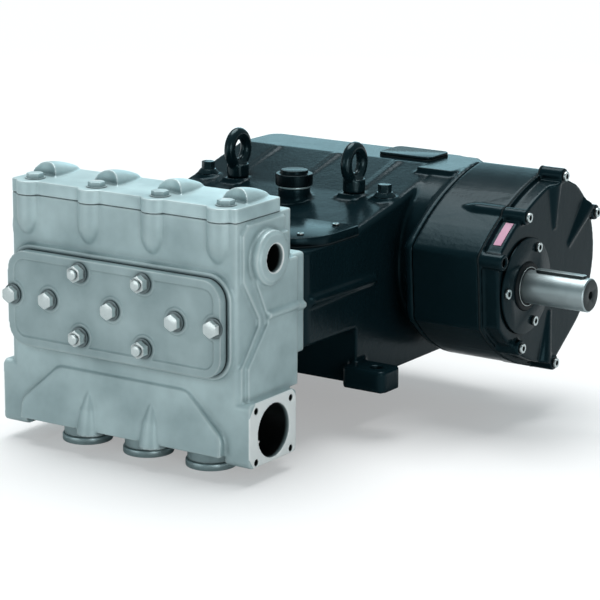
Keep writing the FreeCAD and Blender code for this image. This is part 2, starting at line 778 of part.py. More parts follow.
def make_top_bolt(x):
    """A flanged hexagon bolt's head."""
    seat = at(x, top_bolt_y, top_bolt_seat_z)
    flange = Part.makeCone(top_bolt_flange_radius, top_bolt_flange_radius * 0.7, top_bolt_flange, seat, Z)
    head = hex_head(top_bolt_across_flats, top_bolt_head, seat + Z * (top_bolt_flange - merge), Z)
    return flange.fuse(head)


def make_filler():
    """The oil filler's cap, with a knob on top."""
    seat = at(filler_x, filler_y, filler_seat_z)
    cap = Part.makeCylinder(filler_cap_radius, filler_cap_height, seat, Z)
    cap = cap.makeFillet(2.0, [edge for edge in cap.Edges if isinstance(edge.Curve, Part.Circle)])
    knob = Part.makeCylinder(filler_knob_radius, filler_knob_height + merge,
                             seat + Z * (filler_cap_height - merge), Z)
    return cap.fuse(knob)


def rear_screw_seats():
    """Places of the rear cover's screws, along its top and bottom edges and at half height."""
    reach = rear_cover_half - rear_screw_inset
    seats = []
    for z in (rear_cover_top - rear_screw_inset, rear_cover_bottom + rear_screw_inset):
        for i in range(rear_screw_columns):
            seats.append((-reach + 2 * reach * i / (rear_screw_columns - 1), z))
    middle = (rear_cover_top + rear_cover_bottom) / 2.0
    seats += [(-reach, middle), (reach, middle)]
    return [at(x, case_rear + rear_cover_thickness, z) for x, z in seats]


def make_gear_flange():
    """The crankcase's flange for the gear case, flared out towards the joint."""
    flange = gear_outline(gear_flare_start, gear_flange_end, 0)
    rim = [edge for edge in flange.Edges if edge.BoundBox.XMax < gear_flare_start + tiny]
    return flange.makeChamfer(gear_flare, rim)


def make_ridge(y, z):
    """A ridge along the gear case behind one of the cover's screws, pointed at its far end."""
    point = Part.makeCone(0, gear_boss_radius, gear_ridge_full - gear_ridge_tip, at(gear_ridge_tip, y, z), X)
    return point.fuse(Part.makeCylinder(gear_boss_radius, gear_split - gear_ridge_full,
                                        at(gear_ridge_full, y, z), X))


def make_gear_housing():
    """The gear case's body, with a ridge behind each screw of the cover."""
    body = gear_outline(gear_flange_end, gear_split, 0)
    for y, z in gear_screws:
        body = body.fuse(make_ridge(y, z))
    bore = Part.makeCylinder(shaft_radius + shaft_clearance, gear_split - shaft_inner_end + merge,
                             at(shaft_inner_end - merge, shaft_y, shaft_z), X)
    return body.cut(bore).removeSplitter()


def make_face_rib(rim, tip):
    """A half-round rib on the gear cover's face, tapered towards its tip."""
    start = at(gear_face - face_rib_sink, *rim)
    end = at(gear_face - face_rib_sink, *tip)
    rib = Part.makeCone(face_rib_radius, face_rib_tip_radius, (end - start).Length, start, end - start)
    room = gear_outline(gear_face - merge, gear_face + face_rib_radius, -gear_cover_taper)
    return rib.common(room)


def make_gear_cover():
    """The gear case's end cover, with an ear at each screw and the bore for the shaft and its seal."""
    base = gear_outline(gear_split, gear_split + gear_cover_land, 0)
    lid = gear_outline(gear_split, gear_face, -gear_cover_taper)
    cover = base.fuse(lid)
    adds = [Part.makeCylinder(gear_boss_radius, gear_boss_face - gear_split, at(gear_split, y, z), X)
            for y, z in gear_screws + [gear_dowel]]
    adds.extend(make_face_rib(rim_end, tip) for rim_end, tip in face_ribs)
    cover = cover.fuse(adds)
    bore = Part.makeCylinder(shaft_radius + shaft_clearance, gear_face - gear_split,
                             at(gear_split, shaft_y, shaft_z), X)
    seat = Part.makeCylinder(seal_outer_radius, seal_depth, at(gear_face - seal_depth, shaft_y, shaft_z), X)
    dowel = Part.makeCylinder(gear_dowel_radius, gear_dowel_depth, at(gear_boss_face, *gear_dowel), X * -1)
    return cover.cut([bore, seat, dowel]).removeSplitter()


def make_pinion_cover():
    """The cover over the input shaft's bearing, cut off where the gear case ends."""
    disc = Part.makeCylinder(pinion_cover_radius, pinion_cover_thickness, at(gear_face, shaft_y, shaft_z), X)
    disc = disc.common(gear_outline(gear_face, pinion_face, -pinion_cover_inset))
    hole = Part.makeCylinder(seal_outer_radius, pinion_cover_thickness, at(gear_face, shaft_y, shaft_z), X)
    return disc.cut(hole).removeSplitter()


def make_seal():
    """The shaft seal, seated in the gear cover and standing a little out of the pinion cover."""
    length = seal_depth + pinion_cover_thickness + seal_stand_out
    start = at(gear_face - seal_depth, shaft_y, shaft_z)
    ring = Part.makeCylinder(seal_outer_radius, length, start, X)
    front = ring.BoundBox.XMax - tiny
    ring = ring.makeChamfer(seal_chamfer, [edge for edge in ring.Edges if edge.BoundBox.XMin > front])
    return ring.cut(Part.makeCylinder(shaft_radius + shaft_clearance, length, start, X))


def key_box():
    """The key's space: its sides, and its ends before they are rounded."""
    end = shaft_end - key_end_gap
    low = shaft_z + shaft_radius - key_seat
    side = key_width / 2.0
    return (end - key_length, end, shaft_y - side, shaft_y + side, low, low + key_height)


def make_key():
    return rounded_box(*key_box(), key_width / 2.0 - tiny, Z)


def make_shaft():
    """The input shaft, with its keyway and centre hole."""
    start = at(shaft_inner_end, shaft_y, shaft_z)
    shaft = Part.makeCylinder(shaft_radius, shaft_end - shaft_inner_end, start, X)
    shaft = shaft.makeChamfer(shaft_chamfer, [edge for edge in shaft.Edges
                                              if edge.BoundBox.XMin > shaft_end - tiny])
    hole = Part.makeCylinder(centre_hole_radius, centre_hole_depth, at(shaft_end, shaft_y, shaft_z), X * -1)
    return shaft.cut([hole, make_key()])


def make_inspection_cover():
    """The plate over the inspection opening in the deck."""
    return rounded_box(inspection_x - inspection_length / 2.0, inspection_x + inspection_length / 2.0,
                       inspection_y - inspection_width / 2.0, inspection_y + inspection_width / 2.0,
                       deck_z, deck_z + inspection_thickness, inspection_corner_radius, Z)


def screws_on_circle(face, y, z, radius, angles, direction):
    """Socket screws round a centre, at angles counted from +Y towards +Z."""
    screws = []
    for angle in angles:
        turn = math.radians(angle)
        seat = at(face, y + radius * math.cos(turn), z + radius * math.sin(turn))
        screws.append(socket_screw(seat, direction))
    return Part.makeCompound(screws)


def socket_screws(seats, direction):
    """One node of socket screws on several seats."""
    return Part.makeCompound([socket_screw(seat, direction) for seat in seats])


def manifold_fasteners():
    """The manifold's bolts, studs and plugs, by name."""
    nodes = {}
    for i, (seat, way) in enumerate(head_bolt_seats()):
        nodes["head_bolt_%d" % (i + 1)] = hex_bolt(seat, way, bolt_grip, head_washer_thickness,
                                                   head_bolt_height)
    for i, (seat, way) in enumerate(cover_bolt_seats()):
        nodes["cover_bolt_%d" % (i + 1)] = hex_bolt(seat, way, bolt_grip, washer_thickness,
                                                    bolt_head_height)
    for i, (seat, way) in enumerate(cover_stud_seats()):
        nodes["cover_stud_%d" % (i + 1)] = stud_and_nut(seat, way, bolt_grip)
    for i, x in enumerate(plungers):
        nodes["valve_plug_%d" % (i + 1)] = make_plug(x)
    return nodes


def case_top():
    """What is fastened on top of the crankcase, by name."""
    nodes = {"bay_cover": make_bay_cover(), "bay_cover_screws": make_bay_screws()}
    for name, side in (("left", -1), ("right", 1)):
        nodes["eyebolt_" + name] = make_eyebolt(side * eyebolt_x)
        nodes["top_bolt_" + name] = make_top_bolt(side * top_bolt_x)
    nodes["oil_filler"] = make_filler()
    nodes["inspection_cover"] = make_inspection_cover()
    return nodes


def rear_and_plain_side():
    """The rear cover and the plain side's bearing cover with their fittings, by name."""
    nodes = {"rear_cover": rounded_box(-rear_cover_half, rear_cover_half, case_rear,
                                       case_rear + rear_cover_thickness, rear_cover_bottom,
                                       rear_cover_top, rear_cover_corner_radius, Y)}
    nodes["rear_cover_screws"] = socket_screws(rear_screw_seats(), Y)
    rear_face = case_rear + rear_cover_thickness
    nodes["oil_sight_glass"] = Part.makeCylinder(sight_glass_radius, sight_glass_thickness,
                                                 at(sight_glass_x, rear_face, sight_glass_z), Y)
    nodes["oil_drain_plug"] = hex_head(2 * drain_plug_radius, drain_plug_length,
                                       at(-sight_glass_x, rear_face, drain_plug_z), Y)
    side_face = -case_half_width - side_boss_thickness
    outer_face = side_face - side_cover_thickness
    cover = Part.makeCylinder(side_cover_radius, side_cover_thickness, at(side_face, crank_y, 0), X * -1)
    dish = Part.makeCylinder(side_cover_dish_radius, side_cover_dish, at(outer_face, crank_y, 0), X)
    nodes["side_bearing_cover"] = cover.cut(dish)
    nodes["side_bearing_screws"] = screws_on_circle(outer_face, crank_y, 0, side_screw_circle,
                                                    even_angles(side_screw_count), X * -1)
    return nodes


def drive_side():
    """The gear case, the shaft and what belongs to them, by name."""
    seats = [at(gear_boss_face, y, z) for y, z in gear_screws]
    return {"gear_housing": make_gear_housing(), "gear_cover": make_gear_cover(),
            "gear_cover_screws": socket_screws(seats, X), "pinion_cover": make_pinion_cover(),
            "pinion_cover_screws": screws_on_circle(pinion_face, shaft_y, shaft_z, pinion_screw_circle,
                                                    pinion_screw_angles, X),
            "shaft_seal": make_seal(), "input_shaft": make_shaft(), "shaft_key": make_key()}


def build():
    """Every node of the pump, by name."""
    nodes = {"manifold_body": make_manifold(), "manifold_head": make_head(), "valve_cover": make_cover(),
             "crankcase": make_crankcase()}
    for group in (manifold_fasteners(), case_top(), rear_and_plain_side(), drive_side()):
        nodes.update(group)
    return nodes


os.makedirs("parts", exist_ok=True)
for node_name, node_shape in build().items():
    node_shape.exportStep(os.path.join("parts", node_name + ".step"))
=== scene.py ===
import json
import math

import bpy
from bpy.props import FloatProperty, FloatVectorProperty, IntProperty, PointerProperty
from mathutils import Euler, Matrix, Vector


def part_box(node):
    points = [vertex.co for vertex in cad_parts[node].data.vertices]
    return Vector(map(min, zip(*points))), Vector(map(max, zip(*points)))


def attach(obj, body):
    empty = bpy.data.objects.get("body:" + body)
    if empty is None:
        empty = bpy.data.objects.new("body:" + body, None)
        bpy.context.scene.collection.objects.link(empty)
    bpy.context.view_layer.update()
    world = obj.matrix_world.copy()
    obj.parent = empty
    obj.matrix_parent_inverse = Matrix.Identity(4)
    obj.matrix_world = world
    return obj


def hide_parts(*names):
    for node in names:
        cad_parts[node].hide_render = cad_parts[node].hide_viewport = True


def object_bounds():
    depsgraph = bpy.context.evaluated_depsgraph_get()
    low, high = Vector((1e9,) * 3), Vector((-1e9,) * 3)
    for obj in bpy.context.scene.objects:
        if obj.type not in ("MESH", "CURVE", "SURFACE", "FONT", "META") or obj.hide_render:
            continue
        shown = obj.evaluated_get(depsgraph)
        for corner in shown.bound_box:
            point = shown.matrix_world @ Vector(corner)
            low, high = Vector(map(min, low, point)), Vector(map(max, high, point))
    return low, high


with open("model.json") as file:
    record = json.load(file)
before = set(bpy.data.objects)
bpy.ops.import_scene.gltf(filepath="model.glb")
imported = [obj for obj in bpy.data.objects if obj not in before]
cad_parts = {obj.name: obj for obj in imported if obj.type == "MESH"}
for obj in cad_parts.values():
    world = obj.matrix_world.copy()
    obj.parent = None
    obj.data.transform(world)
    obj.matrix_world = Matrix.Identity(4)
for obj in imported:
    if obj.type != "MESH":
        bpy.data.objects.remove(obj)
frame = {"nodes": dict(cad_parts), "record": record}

bl_info = {
    "name": "Plunger Pump",
    "version": (1, 0, 0),
    "blender": (4, 5, 0),
    "location": "View3D > Sidebar > Pump",
    "description": "Finishes the castings, fasteners, paint and studio of a horizontal plunger pump",
    "category": "Object",
}

BODY = "pump"
SHAFT = "shaft"
MILLIMETRE = 0.001
SLACK = 0.1 * MILLIMETRE
SMOOTH_ANGLE = math.radians(40.0)
WHITE = (1.0, 1.0, 1.0)
CAD_BOX = [list(corner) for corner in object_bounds()]
MOUNTS = {row["name"]: row for row in frame["record"]["mounts"]}

# From the front end of a bolt or stud on the valve cover back to the seat of its washer
WASHER_SEATS = {"cover_bolt": 0.013, "cover_stud": 0.021}

# Each gasket: its cover, its name, the axis across its joint, and the end of the cover's box that lies
# in the joint, 0 for the low end and 1 for the high one
GASKETS = (
    ("valve_cover", "valve_cover_gasket", 1, 1),
    ("rear_cover", "rear_cover_gasket", 1, 0),
    ("inspection_cover", "inspection_cover_gasket", 2, 0),
    ("bay_cover", "bay_cover_gasket", 2, 0),
    ("side_bearing_cover", "side_bearing_gasket", 0, 1),
    ("gear_cover", "gear_cover_gasket", 0, 0),
)

# Each softbox: its name, its place, its width, the point it looks at and its colour
SOFT_BOXES = (
    ("rim_light", (-1.4, 3.0, 1.5), 1.8, (0.0, 0.0, 0.2), (0.50, 0.88, 1.0)),
    ("front_light", (-1.0, -2.9, 0.5), 1.6, (0.0, -0.4, 0.05), WHITE),
    ("side_light", (2.7, -1.9, 0.6), 1.4, (0.2, -0.4, 0.05), WHITE),
)


def metres(name, description, default):
    """A property that holds a length."""
    return FloatProperty(name=name, description=description, default=default,
                         subtype="DISTANCE", unit="LENGTH")


def angle(name, description, default):
    """A property that holds an angle."""
    return FloatProperty(name=name, description=description, default=default, subtype="ANGLE")


def tint(name, description, default):
    """A property that holds a colour."""
    return FloatVectorProperty(name=name, description=description, default=default, subtype="COLOR")


class PumpCastings(bpy.types.PropertyGroup):
    """Sizes of the softened castings, the broken edges and the small pieces that are added."""
    weld_gap: metres(
        "Weld gap", "Points of a packed node that lie closer than this are joined", 0.00001)
    manifold_grain: metres("Manifold grain", "Grid that rounds the manifold's cast edges", 0.0021)
    manifold_share: FloatProperty(
        name="Manifold share", description="Share of the manifold's faces that is kept",
        default=0.5, subtype="FACTOR")
    head_grain: metres("Head grain", "Grid that rounds the head's and the cover's cast edges", 0.0016)
    crankcase_grain: metres("Crankcase grain", "Grid that rounds the crankcase's edges", 0.0037)
    gear_case_grain: metres("Gear case grain", "Grid that rounds the gear case's edges", 0.0024)
    passes: IntProperty(
        name="Smoothing passes", description="How often the cast surface is eased", default=2)
    # The painted shade of the creases spreads this far.
    crevice_reach: metres("Crevice reach", "How far painted shade spreads out of a crease", 0.014)
    flat_angle: angle(
        "Flat angle", "Faces that differ by less than this are made one flat", math.radians(0.6))
    edge_angle: angle("Edge angle", "Machined edges sharper than this are broken", math.radians(28.0))
    fastener_bevel: metres("Fastener bevel", "Broken edge of bolts, nuts and screws", 0.0006)
    cover_bevel: metres("Cover bevel", "Broken edge of flat covers and plates", 0.0016)
    washer_height: metres("Washer height", "Thickness of the washers on the valve cover", 0.003)
    gasket_edge: metres("Gasket edge", "How far a gasket stands out of its joint", 0.0005)
    joint_thickness: metres("Joint thickness", "Width of the dark line at the joints of covers", 0.0018)
    ring_radius: metres("Eye radius", "Middle radius of the eyebolts' rings", 0.0245)
    ring_wire: metres("Eye thickness", "Radius of the bar that the eyebolts' rings are made of", 0.0096)
    ring_cells: IntProperty(
        name="Eye grid", description="Cells of the grid across the bar's radius", default=6)
    ring_lift: metres("Eye lift", "How far the rings are drawn above the packed eyebolts", 0.0015)
    collar_lap: FloatProperty(
        name="Collar lap", description="How far a collar runs up into its ring, in radii of the bar",
        default=1.2, subtype="FACTOR")
    ring_stretch: FloatProperty(
        name="Eye stretch", description="How much taller than wide the eyebolts' rings are",
        default=1.08, subtype="FACTOR")
    collar_edge: metres("Collar edge", "Rounding of the eyebolts' collars", 0.0022)
    seal_ring_radius: metres(
        "Seal ring radius", "Outer radius of the bright ring round the shaft's root", 0.0325)
    seal_ring_length: metres(
        "Seal ring length", "Length of the bright ring round the shaft's root", 0.003)
    seal_ring_wall: metres("Seal ring wall", "Wall of the bright ring round the shaft's root", 0.0014)
    added_ring_chamfer: FloatProperty(
        name="Added ring chamfer", description="Broken edge of the added rings, in shares of their wall",
        default=0.3, subtype="FACTOR")
    centre_hole_depth: metres(
        "Centre hole depth", "How far back from its end the shaft's centre hole is dark", 0.03)
    filler_height: metres("Filler height", "Height of the oil filler's cap and knob", 0.026)
    filler_washer_radius: metres(
        "Filler washer radius", "Outer radius of the washer under the oil filler", 0.0285)
    filler_washer_height: metres(
        "Filler washer height", "Thickness of the washer under the oil filler", 0.0035)
    filler_washer_wall: metres("Filler washer wall", "Width of the washer under the oil filler", 0.004)
    label_place: FloatVectorProperty(
        name="Label place", description="Middle of the blank label",
        subtype="TRANSLATION", default=(0.4155, -0.0551, 0.2539))
    label_turn: FloatVectorProperty(
        name="Label turn", description="Turn of the blank label on the side of the gear cover",
        subtype="EULER", default=(math.radians(38.0), 0.0, 0.0))
    label_length: metres("Label length", "Length of the blank label", 0.050)
    label_width: metres("Label width", "Width of the blank label", 0.014)
    label_gap: metres("Label gap", "How far the blank label lies off the paint", 0.0003)
    label_thickness: metres("Label thickness", "Thickness of the blank label", 0.0006)


class PumpColours(bpy.types.PropertyGroup):
    """Colours of the pump's finishes."""
    cast_light: tint("Cast metal", "Pale blue-grey of the cast manifold", (0.535, 0.68, 0.695))
    cast_dark: tint("Cast metal, low", "Darker tone that drifts over the casting", (0.33, 0.445, 0.462))
    # Painted shade laid into the casting's creases.
    cast_crevice_shade: tint("Cast metal, hollows", "Painted shade in the casting's creases", (0.035, 0.060, 0.066))
    # Painted shade inside the ports.
    port_painted_shade: tint("Port", "Painted shade inside the ports", (0.002, 0.003, 0.003))
    # Milled faces; also the painted highlight on the casting's edges.
    machined: tint(
        "Machined face", "Brighter tone of milled faces, and painted highlight on cast edges", (0.92, 0.96, 0.95))
    zinc: tint("Zinc", "Bright plating of bolts and nuts", (0.70, 0.78, 0.78))
    # Painted shade round the roots of bolts and nuts.
    zinc_root_shade: tint("Zinc, root shade", "Painted shade round the roots of bolts and nuts", (0.012, 0.018, 0.020))
    # The washers' dark tone: duller steel, and partly painted shade round the bolt heads.
    washer: tint("Washer", "Darker steel of the washers, partly painted shade", (0.20, 0.25, 0.26))
    # Painted shade round the washers.
    washer_crevice_shade: tint("Washer, crevice shade", "Painted shade round the washers", (0.01, 0.015, 0.015))
    paint: tint(
        "Gloss paint", "Black gloss paint of the crankcase and gear case", (0.0045, 0.0150, 0.0195))
    # Painted shade in the creases of the paint.
    paint_crevice_shade: tint(
        "Gloss paint, crevice shade", "Painted shade in the creases of the paint", (0.0005, 0.0008, 0.001))
    paint_sheen: tint("Paint sheen", "Blue-green tint of the paint's reflections", (0.45, 0.86, 1.0))
    steel_sheen: tint("Black steel sheen", "Tint of the black steel's reflections", (0.6, 0.92, 1.0))
    # Painted highlight on the black steel's edges.
    steel_edge_highlight: tint(
        "Black steel, edge highlight", "Painted highlight on the black steel's edges", (0.05, 0.065, 0.07))
    ground_steel: tint("Ground steel", "Ground shaft", (0.46, 0.545, 0.56))
    # Painted shadow and painted dark reflection on the shaft's end, its centre hole and the key's sides.
    shade_painted_steel: tint("Dark steel", "Painted shade on the shaft's end and the key's sides", (0.040, 0.054, 0.056))
    shade_painted_steel_low: tint("Dark steel, low", "Darker tone of the painted shade on steel", (0.018, 0.026, 0.028))
    glass: tint("Sight glass", "Oil behind the sight glass", (0.75, 0.62, 0.34))
    glass_low: tint("Sight glass, low", "Darker tone of the oil", (0.62, 0.5, 0.25))
    gasket: tint("Gasket", "Paper gaskets of the covers", (0.022, 0.032, 0.036))
    gasket_low: tint("Gasket, low", "Darker tone of the gaskets", (0.010, 0.016, 0.018))
    rubber: tint("Rubber", "Lip seal", (0.003, 0.006, 0.0075))
    label: tint("Label", "Blank pale label", (0.60, 0.27, 0.41))


class PumpStudio(bpy.types.PropertyGroup):
    """Camera and light of the studio."""
    azimuth: angle("Azimuth", "Turn of the camera round the pump", math.radians(33.80))
    elevation: angle("Elevation", "Height of the camera above the horizon", math.radians(13.85))
    roll: angle("Roll", "Tilt of the camera about its line of sight", math.radians(0.19))
    distance: metres("Distance", "From the camera to the point it looks at", 3.792)
    lens: FloatProperty(
        name="Lens", description="Focal length in millimetres", default=153.3)
    aim: FloatVectorProperty(
        name="Aim", description="Point that the camera looks at",
        subtype="TRANSLATION", default=(0.3354, -0.526, 0.2303))
    sky: FloatProperty(
        name="Sky", description="Level of the even light from all round", default=0.26)
    sky_colour: tint("Sky colour", "Colour of the even light from all round", (0.74, 0.94, 1.0))
    sun: FloatProperty(
        name="Sun", description="Strength of the broad light overhead", default=2.8)
    sun_spread: angle("Sun spread", "How broad the light overhead is", math.radians(50.0))
    sun_turn: FloatVectorProperty(
        name="Sun turn", description="Turn of the light overhead away from straight down",
        subtype="EULER", default=(math.radians(-12.0), math.radians(-10.0), 0.0))
    rim_light: FloatProperty(
        name="Rim light", description="Power of the softbox behind the pump", default=15.0)
    front_light: FloatProperty(
        name="Front light", description="Power of the softbox on the left in front", default=10.0)
    side_light: FloatProperty(
        name="Side light", description="Power of the softbox on the right in front", default=19.0)
    floor_size: metres("Floor size", "Side of the studio floor", 60.0)
    floor_bounce: FloatProperty(
        name="Floor bounce", description="How much of the light the floor throws back onto the pump",
        default=0.5, subtype="FACTOR")
    floor_seen: FloatProperty(
        name="Floor lightness", description="The floor's own lightness as the camera sees it",
        default=0.62)
    floor_glow: FloatProperty(
        name="Floor glow", description="How far the camera sees the floor's shadows lifted",
        default=0.34)
    floor_gap: metres("Floor gap", "Floor below the pump's feet", 0.0002)


def castings():
    return bpy.context.scene.pump_castings


def colours():
    return bpy.context.scene.pump_colours


def studio():
    return bpy.context.scene.pump_studio


def only(piece):
    """Selects one piece and makes it active."""
    bpy.ops.object.select_all(action="DESELECT")
    piece.select_set(True)
    bpy.context.view_layer.objects.active = piece


def centre(node):
    """The middle of a node's box at rest."""
    low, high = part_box(node)
    return (Vector(low) + Vector(high)) / 2.0


def place_in_mesh(piece):
    """Moves a piece's place, turn and scale into its mesh."""
    only(piece)
    bpy.ops.object.transform_apply(location=True, rotation=True, scale=True)


def apply_modifiers(piece):
    """Applies all of a piece's modifiers in their order."""
    only(piece)
    for name in [modifier.name for modifier in piece.modifiers]:
        bpy.ops.object.modifier_apply(modifier=name)


def merged_copy(node, name):
    """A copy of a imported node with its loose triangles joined."""
    piece = bpy.data.objects.new(name, frame["nodes"][node].data.copy())
    bpy.context.scene.collection.objects.link(piece)
    only(piece)
    bpy.ops.mesh.customdata_custom_splitnormals_clear()
    bpy.ops.object.mode_set(mode="EDIT")
    bpy.ops.mesh.select_all(action="SELECT")
    bpy.ops.mesh.remove_doubles(threshold=castings().weld_gap)
    bpy.ops.object.mode_set(mode="OBJECT")
    return piece


def settle(piece, finish, slot, body, *nodes):
    """Gives a finished piece its material and its body, and hides the nodes that it stands for."""
    piece.data.materials.clear()
    piece.data.materials.append(finish)
    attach(piece, body)
    if nodes:
        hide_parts(*nodes)


def second_finish(piece, finish, chosen):
    """Gives the faces that a test picks another material."""
    piece.data.materials.append(finish)
    for face in piece.data.polygons:
        if chosen(face):
            face.material_index = 1


def soften(piece, grain):
    """Rounds a piece on a grid, as a mould or a forging die leaves it."""
    mould = piece.modifiers.new("mould", "REMESH")
    mould.mode = "VOXEL"
    mould.voxel_size = grain
    mould.use_smooth_shade = True
    ease = piece.modifiers.new("ease", "SMOOTH")
    ease.iterations = castings().passes


def cast_piece(node, grain, finish, slot, share=1.0):
    """A cast piece with softened edges and corners, and a share of the grid's faces."""
    piece = merged_copy(node, node + "_casting")
    soften(piece, grain)
    if share < 1.0:
        thin = piece.modifiers.new("thin out", "DECIMATE")
        thin.ratio = share
    apply_modifiers(piece)
    settle(piece, finish, slot, BODY, node)


def turned_piece(node, bevel, finish, slot, body=BODY):
    """A machined piece: flat faces made whole, edges broken, curves shaded smooth."""
    sizes = castings()
    piece = merged_copy(node, node + "_finished")
    flats = piece.modifiers.new("flats", "DECIMATE")
    flats.decimate_type = "DISSOLVE"
    flats.angle_limit = sizes.flat_angle
    edge = piece.modifiers.new("broken edge", "BEVEL")
    edge.width = bevel
    edge.segments = 2
    edge.limit_method = "ANGLE"
    edge.angle_limit = sizes.edge_angle
    edge.use_clamp_overlap = True
    apply_modifiers(piece)
    only(piece)
    bpy.ops.object.shade_smooth_by_angle(angle=sizes.edge_angle)
    settle(piece, finish, slot, body, node)
    return piece


def joint_line(cover, name, axis, place):
    """The edge of a gasket: a thin slice of a cover at its joint, a little larger all round."""
    sizes = castings()
    piece = merged_copy(cover, name)
    way = Vector((0.0, 0.0, 0.0))
    way[axis] = 1.0
    bpy.ops.object.mode_set(mode="EDIT")
    for side in (-1.0, 1.0):
        cut = way * (place + side * sizes.joint_thickness / 2.0)
        bpy.ops.mesh.select_all(action="SELECT")
        bpy.ops.mesh.bisect(plane_co=cut, plane_no=way * side, use_fill=True, clear_outer=True)
    bpy.ops.object.mode_set(mode="OBJECT")
    proud = piece.modifiers.new("proud", "DISPLACE")
    proud.mid_level = 0.0
    proud.strength = sizes.gasket_edge
    apply_modifiers(piece)
    settle(piece, finishes["gasket"], "seal_rubber", BODY)


def steel_ring(name, radius, length, wall, place, turn):
    """A turned ring with broken edges."""
    bpy.ops.object.select_all(action="DESELECT")
    bpy.ops.mesh.primitive_cylinder_add(
        vertices=96, radius=radius, depth=length, end_fill_type="NOTHING",
        location=place, rotation=turn)
    ring = bpy.context.object
    ring.name = name
    place_in_mesh(ring)
    body = ring.modifiers.new("wall", "SOLIDIFY")
    body.thickness = wall
    edge = ring.modifiers.new("edge", "BEVEL")
    edge.width = min(wall, length) * castings().added_ring_chamfer
    edge.segments = 3
    edge.limit_method = "ANGLE"
    apply_modifiers(ring)
    only(ring)
    bpy.ops.object.shade_smooth_by_angle(angle=SMOOTH_ANGLE)
    return ring


def join_to(piece, *others):
    """Joins others into a piece."""
    bpy.ops.object.select_all(action="DESELECT")
    for other in (*others, piece):
        other.select_set(True)
    bpy.context.view_layer.objects.active = piece
    bpy.ops.object.join()


# Shader groups shared by the finishes

def new_group(name, inputs, outputs):
    """A shader group with named sockets; inputs hold (name, type, default)."""
    tree = bpy.data.node_groups.new(name, "ShaderNodeTree")
    for label, kind, default in inputs:
        socket = tree.interface.new_socket(label, in_out="INPUT", socket_type="NodeSocket" + kind)
        if default is not None:
            socket.default_value = default
    for label, kind in outputs:
        tree.interface.new_socket(label, in_out="OUTPUT", socket_type="NodeSocket" + kind)
    start = tree.nodes.new("NodeGroupInput")
    end = tree.nodes.new("NodeGroupOutput")
    return tree, start, end


def colour_mix(tree):
    """A node that mixes two colours: its factor, both colours and the result."""
    node = tree.nodes.new("ShaderNodeMix")
    node.data_type = "RGBA"
    low, high = [socket for socket in node.inputs if socket.type == "RGBA"]
    result = [socket for socket in node.outputs if socket.type == "RGBA"][0]
    return node.inputs["Factor"], low, high, result


def grain_group():
    """Fine and coarse lumps of a sand casting, as a height."""
    tree, start, end = new_group("Cast Grain", [
        ("Vector", "Vector", None), ("Fine Scale", "Float", 900.0), ("Coarse Scale", "Float", 60.0),
        ("Coarse Share", "Float", 0.5)], [("Height", "Float")])
    fine = tree.nodes.new("ShaderNodeTexNoise")
    fine.inputs["Detail"].default_value = 3.0
    coarse = tree.nodes.new("ShaderNodeTexNoise")
    coarse.inputs["Detail"].default_value = 2.0
    mix = tree.nodes.new("ShaderNodeMix")
    link = tree.links.new
    link(start.outputs["Vector"], fine.inputs["Vector"])
    link(start.outputs["Vector"], coarse.inputs["Vector"])
    link(start.outputs["Fine Scale"], fine.inputs["Scale"])
    link(start.outputs["Coarse Scale"], coarse.inputs["Scale"])
    link(start.outputs["Coarse Share"], mix.inputs["Factor"])
    link(fine.outputs["Fac"], mix.inputs["A"])
    link(coarse.outputs["Fac"], mix.inputs["B"])
    link(mix.outputs["Result"], end.inputs["Height"])


def drift_group():
    """Two colours that drift into one another over the surface."""
    tree, start, end = new_group("Colour Drift", [
        ("Vector", "Vector", None), ("Scale", "Float", 12.0), ("Low", "Color", (0, 0, 0, 1)),
        ("High", "Color", (1, 1, 1, 1)), ("Contrast", "Float", 1.0)], [("Colour", "Color")])
    noise = tree.nodes.new("ShaderNodeTexNoise")
    noise.inputs["Detail"].default_value = 4.0
    centre = tree.nodes.new("ShaderNodeMath")
    centre.operation = "SUBTRACT"
    centre.inputs[1].default_value = 0.5
    stretch = tree.nodes.new("ShaderNodeMath")
    stretch.operation = "MULTIPLY_ADD"
    stretch.use_clamp = True
    stretch.inputs[2].default_value = 0.5
    factor, low, high, result = colour_mix(tree)
    link = tree.links.new
    link(start.outputs["Vector"], noise.inputs["Vector"])
    link(start.outputs["Scale"], noise.inputs["Scale"])
    link(noise.outputs["Fac"], centre.inputs[0])
    link(centre.outputs[0], stretch.inputs[0])
    link(start.outputs["Contrast"], stretch.inputs[1])
    link(stretch.outputs[0], factor)
    link(start.outputs["Low"], low)
    link(start.outputs["High"], high)
    link(result, end.inputs["Colour"])


def edge_group():
    """A mask that is bright on ridges and corners, by pointiness; the cast and black steel finishes lay
    painted highlights with it.
    """
    tree, start, end = new_group("Rubbed Edges", [
        ("Low", "Float", 0.52), ("High", "Float", 0.58)], [("Mask", "Float")])
    geometry = tree.nodes.new("ShaderNodeNewGeometry")
    window = tree.nodes.new("ShaderNodeMapRange")
    link = tree.links.new
    link(geometry.outputs["Pointiness"], window.inputs["Value"])
    link(start.outputs["Low"], window.inputs["From Min"])
    link(start.outputs["High"], window.inputs["From Max"])
    link(window.outputs["Result"], end.inputs["Mask"])


def crevice_group():
    """A mask that is bright in creases and where two pieces meet, by ambient occlusion; the finishes lay
    painted shade with it.
    """
    tree, start, end = new_group("Crevice Grime", [
        ("Reach", "Float", 0.01), ("Low", "Float", 0.75), ("High", "Float", 0.35)], [("Mask", "Float")])
    shelter = tree.nodes.new("ShaderNodeAmbientOcclusion")
    shelter.samples = 8
    window = tree.nodes.new("ShaderNodeMapRange")
    link = tree.links.new
    link(start.outputs["Reach"], shelter.inputs["Distance"])
    link(shelter.outputs["AO"], window.inputs["Value"])
    link(start.outputs["Low"], window.inputs["From Min"])
    link(start.outputs["High"], window.inputs["From Max"])
    link(window.outputs["Result"], end.inputs["Mask"])


